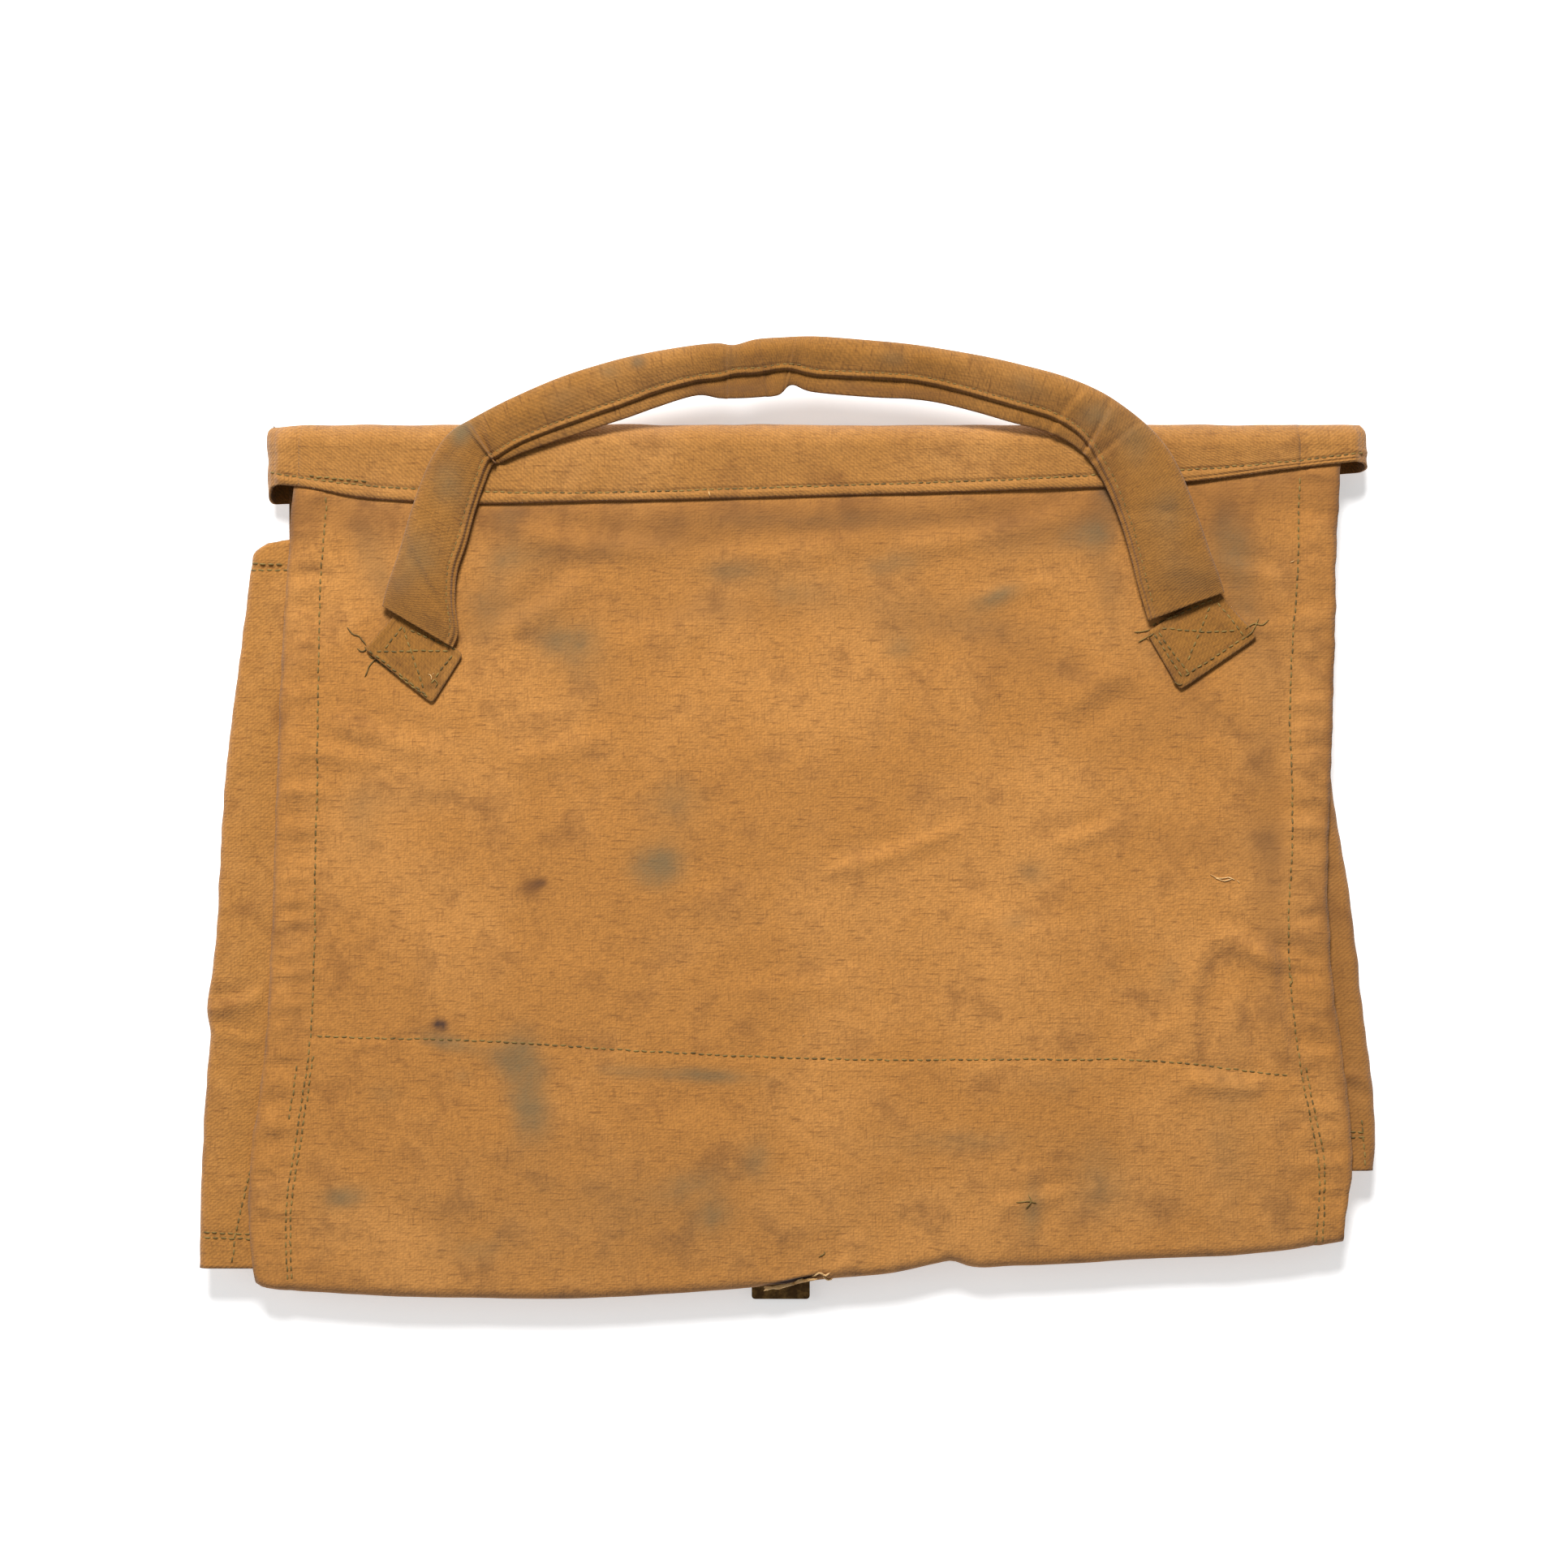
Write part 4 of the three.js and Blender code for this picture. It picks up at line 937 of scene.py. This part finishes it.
# The flat tabs at the handle's feet: four corners each, the first two and the fourth clear of the padding.
TABS = {
    "left": [(-148.2, 60.2), (-124.4, 41.2), (-113.6, 58.6), (-134.6, 76.0)],
    "right": [(126.0, 66.2), (137.8, 45.8), (165.0, 64.6), (150.0, 82.0)],
}


def tab_shape(corners):
    a, b, c, d = (np.array(p, float) for p in corners)
    sides = np.linalg.norm(c - b), np.linalg.norm(b - a)

    def shape(u, v):
        p, q = u, 1 - v
        ends = 1 - 0.5 * (np.abs(2 * p - 1) ** 14) * (np.abs(2 * q - 1) ** 14)
        spot = [((1 - p) * (1 - q))[:, None] * b, (p * (1 - q))[:, None] * c, (p * q)[:, None] * d,
                ((1 - p) * q)[:, None] * a]
        xy = sum(spot)
        centre = (a + b + c + d) / 4
        xy = centre + (xy - centre) * (0.93 + 0.07 * ends)[:, None]
        x, y = xy.T
        border = np.minimum(np.minimum(p, 1 - p) * sides[0], np.minimum(q, 1 - q) * sides[1])
        swell = 0.35 * smooth(0, 1.4, border) - 0.35 * bump(border - 2.6, 0.8)
        z = BACK + panel_relief(x, y) + 1.45 + 0.8 * swell + 0.12 * ripple(x, y, 9, 55)
        return (x, y, z), (p * sides[0], q * sides[1])

    return shape


# ------------------------------------------------------------------ seams, as lines on the cloth
def line_along_x(knots, start, stop, offset=0.0, step=3.0, wander=0.2, seed=0):
    x = np.arange(start, stop, step)
    return np.stack([x, along(knots, x) + offset + wander * ripple(x, 0 * x, 22, 70 + seed)], 1)


def straight(*points):
    """A line through points, in short steps."""
    points = np.array(points, float)
    return spaced(points, 1.0)[0]


LEFT_SEAM = [(-163, -175.6), (-139, -176.1), (-110.6, -172.4), (-75, -167.3), (-25, -165.9), (32, -164.7),
             (83, -163.9), (116, -161.3)]
RIGHT_SEAM = [(-150, 185.8), (-122, 186.7), (-88, 180.4), (-48, 176.1), (3, 177.3), (46, 176.7), (89, 179),
              (122, 180.1)]
TAB_ROWS = {
    "left": [[(-144.9, 59.6), (-116.6, 59.8)], [(-134.6, 69), (-141.8, 59.4)],
             [(-134.9, 68.8), (-127.4, 46.2)], [(-117.0, 59), (-125.9, 47)],
             [(-133.2, 67.4), (-116.8, 60.4)],
             [(-147.2, 60.4), (-126.8, 44.6)], [(-147.4, 58.6), (-125.4, 43.2)]],
    "right": [[(127.4, 68.4), (149.8, 78.0)], [(130.7, 67.9), (147.1, 66.3), (158.9, 67.2)],
              [(148.5, 75.8), (139.8, 55.2)], [(150.4, 77.4), (160, 65.2)], [(138.7, 50.6), (160.4, 64.5)],
              [(128.4, 66.3), (138.8, 50)], [(129.9, 66.6), (140.2, 52.4)]],
}


def made(name):
    """A piece made by an earlier step."""
    obj = bpy.data.objects.get(name)
    if obj is None:
        raise RuntimeError(f"{name} has to be made first")
    return obj


def point(x, y, z):
    return (x * MM, y * MM, z * MM)


def bend_feet(piece):
    """Bakes a piece on the handle into its mesh where it stands."""
    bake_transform(piece)


class MailSackSettings(bpy.types.PropertyGroup):
    """Sizes and colours of the sack."""
    stitch_pitch: bpy.props.FloatProperty(
        name="Stitch pitch", description="Length of one machine stitch", default=STITCH * MM,
        min=0.0015, max=0.006, unit="LENGTH", precision=4)
    canvas: bpy.props.StringProperty(
        name="Canvas", description="Dyed canvas, sRGB hex", default="#9d692f")
    canvas_faded: bpy.props.StringProperty(
        name="Faded canvas", description="Where the dye has faded, sRGB hex", default="#a97439")
    canvas_dark: bpy.props.StringProperty(
        name="Dark yarn", description="The darker yarns and slubs, sRGB hex", default="#704720")
    handle: bpy.props.StringProperty(
        name="Handle canvas", description="The hand-worn handle, sRGB hex", default="#82561f")
    thread: bpy.props.StringProperty(
        name="Thread", description="Sewing thread, sRGB hex", default="#7d6531")
    camera_height: bpy.props.FloatProperty(
        name="Camera height", description="How far above the ground the camera stands",
        default=1.24, min=0.5, max=5, unit="LENGTH")


class MAILSACK_OT_panels(bpy.types.Operator):
    """Makes the back and front panels as one folded length of canvas"""
    bl_idname = "mailsack.panels"
    bl_label = "Sack Panels"

    def execute(self, context):
        panel = cloth("panel_cloth", 188, 232, folded_panel)
        dress(soil_and_shade(panel), finish("canvas_khaki"))
        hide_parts("back_panel", "base_fold", "front_panel")
        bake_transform(panel)
        declare(panel)
        return {"FINISHED"}


class MAILSACK_OT_gussets(bpy.types.Operator):
    """Makes the two side gussets, folded flat between the panels"""
    bl_idname = "mailsack.gussets"
    bl_label = "Side Gussets"

    def execute(self, context):
        for name, side in (("left", -1), ("right", 1)):
            gusset = cloth(f"gusset_{name}_cloth", 60, 190, side_gusset(side))
            dress(soil_and_shade(gusset, 0.12 if side < 0 else 0.5, False), finish("canvas_gusset"))
            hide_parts(f"gusset_{name}")
            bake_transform(gusset)
            declare(gusset)
        return {"FINISHED"}


class MAILSACK_OT_lid(bpy.types.Operator):
    """Makes the lid: the leaf, the roll and the sewn band in one, and its two hooded ends"""
    bl_idname = "mailsack.lid"
    bl_label = "Lid"

    def execute(self, context):
        lid = cloth("lid_cloth", 230, 150, lid_cloth)
        dress(soil_and_shade(lid, 0.05, False), finish("canvas_lid"))
        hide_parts("lid_band", "lid_fold", "lid_leaf")
        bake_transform(lid)
        declare(lid)
        for name, side in (("left", -1), ("right", 1)):
            end = cloth(f"lid_end_{name}_cloth", 72, 60, lid_end(side))
            dress(soil_and_shade(end, 0.1, False), finish("canvas_lid"))
            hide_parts(f"lid_end_{name}")
            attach(end, "sack")
            declare(end)
            self.hem(name, side)
        return {"FINISHED"}

    def hem(self, name, side):
        """The hem inside the leaf: a strip down its side and across its end to the strap."""
        low, high = (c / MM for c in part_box(f"lid_hem_{name}"))
        outer = (low if side < 0 else high).x
        strap_side = (high if side < 0 else low).x

        def shape(u, v):
            run = v * (high.y - low.y + abs(strap_side - outer) - HEM_TURN * 0.43)
            down = high.y - low.y - HEM_TURN
            arc = HEM_TURN * math.pi / 2
            inset = HEM * (u if side > 0 else 1 - u)
            bend = np.clip((run - down) / arc, 0, 1) * math.pi / 2
            radius = HEM_TURN - inset
            x = outer - side * (HEM_TURN - radius * np.cos(bend))
            y = low.y + HEM_TURN - radius * np.sin(bend)
            x = np.where(run < down, outer - side * inset, x)
            y = np.where(run < down, high.y - run, y)
            x = np.where(run > down + arc, outer - side * (HEM_TURN + run - down - arc), x)
            y = np.where(run > down + arc, low.y + inset, y)
            return (x, y, high.z + 0.1 * ripple(x, y, 14, 81)), (inset, run)

        strip = cloth(f"lid_hem_{name}_cloth", 8, 140, shape)
        dress(soil_and_shade(strip, 0.2, False), finish("canvas_inside_shaded"))
        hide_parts(f"lid_hem_{name}")
        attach(strip, "lid")
        declare(strip)


class MAILSACK_OT_linings(bpy.types.Operator):
    """Makes the sheets sewn inside the sack: base lining, mouth facing and handle patches"""
    bl_idname = "mailsack.linings"
    bl_label = "Linings"

    def execute(self, context):
        self.sheet("base_lining", "sack", 60, 26, to_seam=True)
        self.sheet("front_facing", "front", 70, 8)
        for name in ("left", "right"):
            self.sheet(f"handle_patch_{name}", "sack", 16, 16)
        return {"FINISHED"}

    def sheet(self, node_name, body, columns, rows, to_seam=False):
        low, high = (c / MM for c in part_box(node_name))
        shift = 0.0 if body == "sack" else 1.0
        wide = "patch" not in node_name

        def shape(u, v):
            y = lerp(high.y, low.y, v)
            share = (FOLD_LINE - y) / SACK_HEIGHT
            left = along(LEFT_EDGE, y) - shift * lerp(*FRONT_SHIFT, share) + 14.5
            right = along(RIGHT_EDGE, y) - shift * lerp(*FRONT_SHIFT, share) - 14.5
            x = lerp(left, right, u) if wide else lerp(low.x + 1, high.x - 1, u)
            if to_seam:
                lining = along(LINING_SEAM, x) + 3
                y = lerp(lining, along(BASE_EDGE, x) + 5.5, v)
            relief = panel_relief(x, y) - 0.35 if body == "sack" else 0.2 * ripple(x, y, 30, 82)
            z = (LINING if body == "sack" else high.z) + relief - 0.12
            return (x, y, z), (x, y)

        obj = cloth(f"{node_name}_cloth", columns, rows, shape)
        dress(soil_and_shade(obj, 0.15, False), finish("canvas_inside_shaded"))
        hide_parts(node_name)
        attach(obj, body)
        declare(obj)


class MAILSACK_OT_strap(bpy.types.Operator):
    """Makes the webbing strap and the buckle's chape, and finishes the brass tip and buckle"""
    bl_idname = "mailsack.strap"
    bl_label = "Strap and Buckle"

    def execute(self, context):
        self.tape("strap_anchor", "lid", 60)
        self.tape("strap_tail", "strap", 110)
        self.chape()
        for name, width in (("strap_tip", 0.12), ("buckle_frame", 0.35)):
            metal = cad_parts[name]
            metal.data.materials.clear()
            metal.data.materials.append(finish("brass_aged"))
            bevel = metal.modifiers.new("Rounded edges", "BEVEL")
            bevel.width = width * MM
            bevel.segments = 2
            bevel.limit_method = "ANGLE"
        return {"FINISHED"}

    def tape(self, node_name, body, rows):
        low, high = (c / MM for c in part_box(node_name))

        def shape(u, v):
            x, y = lerp(low.x, high.x, u), lerp(high.y, low.y, v)
            x = x + 0.15 * ripple(0 * x, y, 20, 84)
            z = min(high.z, 2.6) - 0.12 * bump(np.minimum(u, 1 - u) * 19 - 1.2, 0.6)
            return (x, y, z + 0.1 * ripple(x, y, 16, 85) - 0.1), (x, y)

        obj = cloth(f"{node_name}_webbing", 24, rows, shape, thickness=TAPE)
        apply(obj, "BEVEL", width=0.25 * MM, segments=2, limit_method="ANGLE", angle_limit=math.radians(50))
        dress(soil_and_shade(obj, 0, False), finish("webbing_khaki"))
        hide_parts(node_name)
        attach(obj, body)
        declare(obj)

    def chape(self):
        """The tape that holds the buckle: round the bar, and back on itself."""
        low, high = (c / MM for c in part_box("buckle_chape"))
        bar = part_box("buckle_frame")
        bar_y, bar_z = bar[0].y / MM + 0.9, (bar[0].z + bar[1].z) / 2 / MM
        radius = high.y - bar_y
        end = low.y

        def shape(u, v):
            x = lerp(low.x, high.x, u)
            flat = bar_y - end
            total = 2 * flat + math.pi * radius
            run = v * total
            turn = np.clip((run - flat) / (math.pi * radius), 0, 1) * math.pi
            y = bar_y + radius * np.sin(turn)
            z = bar_z + radius * np.cos(turn)
            back = run - flat - math.pi * radius
            y = np.where(run < flat, end + run, y)
            y = np.where(back > 0, bar_y - back, y)
            under = bar_z - radius + smooth(0.6 * radius, 3.2 * radius, back) * (2 * radius - 2.1)
            z = np.where(back > 0, under, z)
            return (x, y, z), (x, run)

        obj = cloth("buckle_chape_webbing", 16, 110, lambda u, v: shape(u, 1 - v), thickness=0.9)
        dress(soil_and_shade(obj, 0, False), finish("webbing_khaki"))
        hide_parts("buckle_chape")
        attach(obj, "front")
        declare(obj)


class MAILSACK_OT_handle(bpy.types.Operator):
    """Makes the padded handle and the flat tabs it is sewn down by"""
    bl_idname = "mailsack.handle"
    bl_label = "Handle"

    def execute(self, context):
        rings, weave = handle_rings()
        handle = tube("handle_cover_padded", rings, weave)
        dress(soil_and_shade(handle, 0.1, True, HANDLE_STAINS_AND_SHADE), finish("canvas_handle"))
        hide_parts("handle_cover", "handle_core")
        bend_feet(handle)
        for name, corners in TABS.items():
            tab = cloth(f"handle_tab_{name}_cloth", 40, 40, tab_shape(corners), thickness=TAPE)
            dress(soil_and_shade(tab, 0.15, False), finish("canvas_handle"))
            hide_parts(f"handle_tab_{name}")
            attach(tab, "sack")
            declare(tab)
        return {"FINISHED"}


class MAILSACK_OT_stitching(bpy.types.Operator):
    """Sews the seams, stitch by stitch, on the finished cloth"""
    bl_idname = "mailsack.stitching"
    bl_label = "Stitching"

    def execute(self, context):
        pitch = context.scene.mail_sack.stitch_pitch / MM
        panel = surface_below(made("panel_cloth"))
        sides = {
            "left": [self.by_y(LEFT_SEAM, 114, -163, 0, 1), self.by_y(LEFT_SEAM, -82, -163, 1.7, 2),
                     straight((-172.2, -85), (-173.6, -96), (-175.4, -106.5))],
            "right": [self.by_y(RIGHT_SEAM, 121, -150, 0, 3), self.by_y(RIGHT_SEAM, -86, -150, 2.0, 4)],
        }
        for name, lines in sides.items():
            self.sew(f"stitches_{name}", lines, panel, pitch, f"seam_{name}")
        lining = [line_along_x(LINING_SEAM, -165.5, 179, seed=1)]
        self.sew("stitches_lining", lining, panel, pitch, "seam_lining")
        lid = surface_below(made("lid_cloth"), made("lid_end_left_cloth"), made("lid_end_right_cloth"))
        rows = [line_along_x(BAND_SEAM, -182, 203.5, seed=2),
                line_along_x(BAND_SEAM, -168, -146, 1.3, seed=3)]
        self.sew("stitches_lid", rows, lid, pitch * 0.92, "seam_lid")
        left = surface_below(made("gusset_left_cloth"))
        self.sew("stitches_gusset_left", [
            straight((-189, 90.6), (-176, 90.2)), straight((-189.6, 88.4), (-176, 88.2)),
            straight((-184.7, -105), (-190, -128), (-193.8, -144.8), (-195, -154.8)),
            straight((-206, -144.4), (-188, -145.2)),
            straight((-205.6, -146.2), (-189, -146.8))], left, pitch)
        right = surface_below(made("gusset_right_cloth"))
        self.sew("stitches_gusset_right", [
            straight((197, -109), (205, -109.6)), straight((197, -111), (205, -111.4)),
            straight((202, -104), (203.4, -121))], right, pitch)
        handle = surface_below(made("handle_cover_padded"))
        t = np.linspace(0.012, 0.988, 400)
        rim = station(4, t) + 1.9 + 0.15 * ripple(t * HANDLE_LENGTH, 0 * t, 18, 66)
        ox, oy, ix, iy = (station(i, t) for i in range(4))
        share = 1 - rim / np.hypot(ix - ox, iy - oy)
        row = np.stack([lerp(ox, ix, share), lerp(oy, iy, share)], 1)
        sewn = stitches("stitches_handle", [row], handle, 6, LOOSE_STITCH, 0.0, 0.72)
        dress(sewn, finish("thread_olive"))
        bend_feet(sewn)
        for name, lines in TAB_ROWS.items():
            layers = f"handle_tab_{name}_cloth", "handle_cover_padded", "panel_cloth"
            tab = surface_below(*(made(layer) for layer in layers))
            self.sew(f"stitches_tab_{name}", [straight(*line) for line in lines], tab, TAB_STITCH)
        return {"FINISHED"}

    def by_y(self, knots, start, stop, offset, seed):
        y = np.arange(start, stop, -3.0)
        return np.stack([along(knots, y) + offset + 0.25 * ripple(y, 0 * y, 24, 60 + seed), y], 1)

    def sew(self, name, lines, height, pitch, replaced=None):
        sewn = stitches(name, lines, height, len(name), pitch)
        dress(sewn, finish("thread_olive"))
        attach(sewn, "sack")
        if replaced:
            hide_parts(replaced)


class MAILSACK_OT_wear(bpy.types.Operator):
    """Adds what use has left: the torn edge, frayed yarns, pulled threads and loose ends of thread"""
    bl_idname = "mailsack.wear"
    bl_label = "Wear"

    def execute(self, context):
        panel = surface_below(*(made(name) for name in (
            "panel_cloth", "handle_tab_left_cloth", "handle_tab_right_cloth", "lid_cloth",
            "handle_cover_padded")))
        straw = []
        for i in range(9):
            start = (-8.6 + 0.5 * ripple(i * 7, 3, 5, 91), -163.4 - 0.25 * i)
            yarn = [start, (-3.4, -164.6 + 0.12 * i), (1.4 + 0.3 * i, -163.2 + 0.1 * i),
                    (6.0 + 0.7 * i, -160.4)]
            straw.append(self.lay(panel, yarn, 0.5, 12.6, 91 + i))
        curl = [(8, -160.6), (11.4, -158.5), (13.2, -159.8), (15.2, -158.2)]
        straw.append(self.lay(panel, curl, 0.5, 14.5, 95))
        tuft = [(12.3, -159.6), (14.5, -161.4), (16.8, -160.2)]
        straw.append(self.lay(panel, tuft, 0.5, 13.5, 96))
        self.add("frayed_edge", straw, 0.36, "thread_straw")
        loose = [
            [(-154.9, 68.6), (-152.4, 65.6), (-150.2, 65.2), (-147.4, 61.2)],
            [(-148.6, 50), (-146.8, 54.4), (-144, 57.2)],
            [(-151.6, 61.2), (-149.4, 59.2), (-147.6, 60.4), (-149.2, 62)],
            [(-124, 50.4), (-122.4, 48.6), (-123.4, 46.4)], [(122.4, 62.2), (125.4, 64.2), (128.9, 66.3)],
            [(159.8, 67.2), (163.6, 69.2), (166.4, 68.8), (169.8, 71.3)],
            [(121, 66.2), (124.6, 66.6), (128, 67.6)], [(160.2, 64.2), (163, 66.4), (166.2, 72.4)],
            [(135, 49.6), (137.4, 47.8), (139.6, 48.8)], [(10.6, -153.2), (13.4, -151.4), (12.4, -149.8)],
            [(-186, -79.6), (-188.6, -82.4), (-186.4, -85.2)],
            [(79.4, -133.4), (84.6, -133), (88.4, -134.2)], [(84.2, -130.4), (85.6, -133.2), (83.4, -136)],
            [(176.2, -53), (177.4, -56), (176, -58.6)],
        ]
        ends = [self.lay(panel, line, 0.35, 0, 100 + i) for i, line in enumerate(loose)]
        self.add("loose_threads", ends, 0.22, "thread_olive")
        pulled = [
            [(147.6, -18.2), (151.2, -20), (154.6, -19.6), (158, -21)],
            [(149, -19.6), (153, -21), (156.4, -20.4)], [(157, -20.2), (159.4, -22.6)],
            [(-27.6, 116.4), (-27, 113.4)], [(-118.6, 60.6), (-117.2, 61.4)],
            [(-126.4, 51.8), (-124.6, 51.2), (-124.8, 48.8)], [(-123.6, 52.2), (-125.2, 50.4)],
            [(-106.6, 119.8), (-104.4, 119)], [(176, 90.5), (178.6, 92)], [(5, -76), (6.4, -74)],
        ]
        yarns = [self.lay(panel, line, 0.3, 0, 130 + i) for i, line in enumerate(pulled)]
        self.add("pulled_yarns", yarns, 0.2, "thread_straw")
        return {"FINISHED"}

    def lay(self, height, line, lift, default, seed):
        """A line laid over the cloth, with a little life of its own."""
        flat = straight(*line)
        run = np.arange(len(flat), dtype=float)
        z = [height(x, y, default) + lift for x, y in flat]
        z = np.array(z) + 0.25 * np.abs(ripple(run, 0 * run, 3, seed))
        wobble = 0.3 * ripple(run, 0 * run + 5, 3.5, seed + 1)
        return np.stack([flat[:, 0] + wobble, flat[:, 1] + wobble[::-1], z], 1)

    def add(self, name, lines, radius, look):
        obj = threads(name, [line for line in lines if len(line) > 1], radius, len(name))
        dress(obj, finish(look))
        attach(obj, "sack")


class MAILSACK_OT_stage(bpy.types.Operator):
    """Sets the pale floor, the soft lights and the camera straight above"""
    bl_idname = "mailsack.stage"
    bl_label = "Stage"

    def execute(self, context):
        scene = context.scene
        bpy.ops.object.select_all(action="DESELECT")
        bpy.ops.mesh.primitive_grid_add(
            x_subdivisions=8, y_subdivisions=8, size=60, location=(0, 0, -0.0005))
        floor = context.object
        floor.name = floor.data.name = "floor"
        white, _, _ = material("floor_paper", {
            "Base Color": linear("#f4f4f4"), "Roughness": 0.9, "Emission Color": linear("#ffffff"),
            "Emission Strength": 0.42})
        floor.data.materials.append(white)
        self.light("overhead", (-0.15, 1.2, 1.35), (0.0, 0.0, 0.0), 0.6, 54)
        self.light("fill", (-1.6, 0.2, 1.2), (0.0, 0.0, 0.0), 1.2, 6)
        world = scene.world or bpy.data.worlds.new("Studio")
        scene.world = world
        world.use_nodes = True
        world.node_tree.nodes.clear()
        sky = node(world.node_tree, "ShaderNodeBackground", {"Color": linear("#ffffff"), "Strength": 0.3})
        node(world.node_tree, "ShaderNodeOutputWorld", {"Surface": sky.outputs[0]})
        scene.view_settings.view_transform = "Standard"
        above = (-0.00114, 0.0131, scene.mail_sack.camera_height)
        bpy.ops.object.camera_add(location=above, rotation=(0, 0, 0))
        camera = context.object
        camera.data.lens = 80
        camera.data.sensor_width = 36
        scene.camera = camera
        return {"FINISHED"}

    def light(self, name, place, target, size, power):
        bpy.ops.object.light_add(type="AREA", location=place)
        lamp = bpy.context.object
        lamp.name = name
        lamp.data.shape = "DISK"
        lamp.data.size = size
        lamp.data.energy = power
        away = Vector(place) - Vector(target)
        lamp.rotation_euler = away.to_track_quat("Z", "Y").to_euler()


STEPS = ("panels", "gussets", "lid", "linings", "strap", "handle", "stitching", "wear", "stage")


class VIEW3D_PT_mail_sack(bpy.types.Panel):
    """Sidebar panel with the sack's settings and steps"""
    bl_label = "Mail Sack"
    bl_idname = "VIEW3D_PT_mail_sack"
    bl_space_type = "VIEW_3D"
    bl_region_type = "UI"
    bl_category = "Mail Sack"

    def draw(self, context):
        layout = self.layout
        settings = context.scene.mail_sack
        for name in MailSackSettings.__annotations__:
            layout.prop(settings, name)
        for step in STEPS:
            layout.operator(f"mailsack.{step}")


CLASSES = (
    MailSackSettings, MAILSACK_OT_panels, MAILSACK_OT_gussets, MAILSACK_OT_lid, MAILSACK_OT_linings,
    MAILSACK_OT_strap, MAILSACK_OT_handle, MAILSACK_OT_stitching, MAILSACK_OT_wear, MAILSACK_OT_stage,
    VIEW3D_PT_mail_sack)


def register():
    for cls in CLASSES:
        bpy.utils.register_class(cls)
    bpy.types.Scene.mail_sack = bpy.props.PointerProperty(type=MailSackSettings)


def unregister():
    del bpy.types.Scene.mail_sack
    for cls in reversed(CLASSES):
        bpy.utils.unregister_class(cls)


def main():
    register()
    for step in STEPS:
        getattr(bpy.ops.mailsack, step)()


if __name__ == "__main__":
    main()
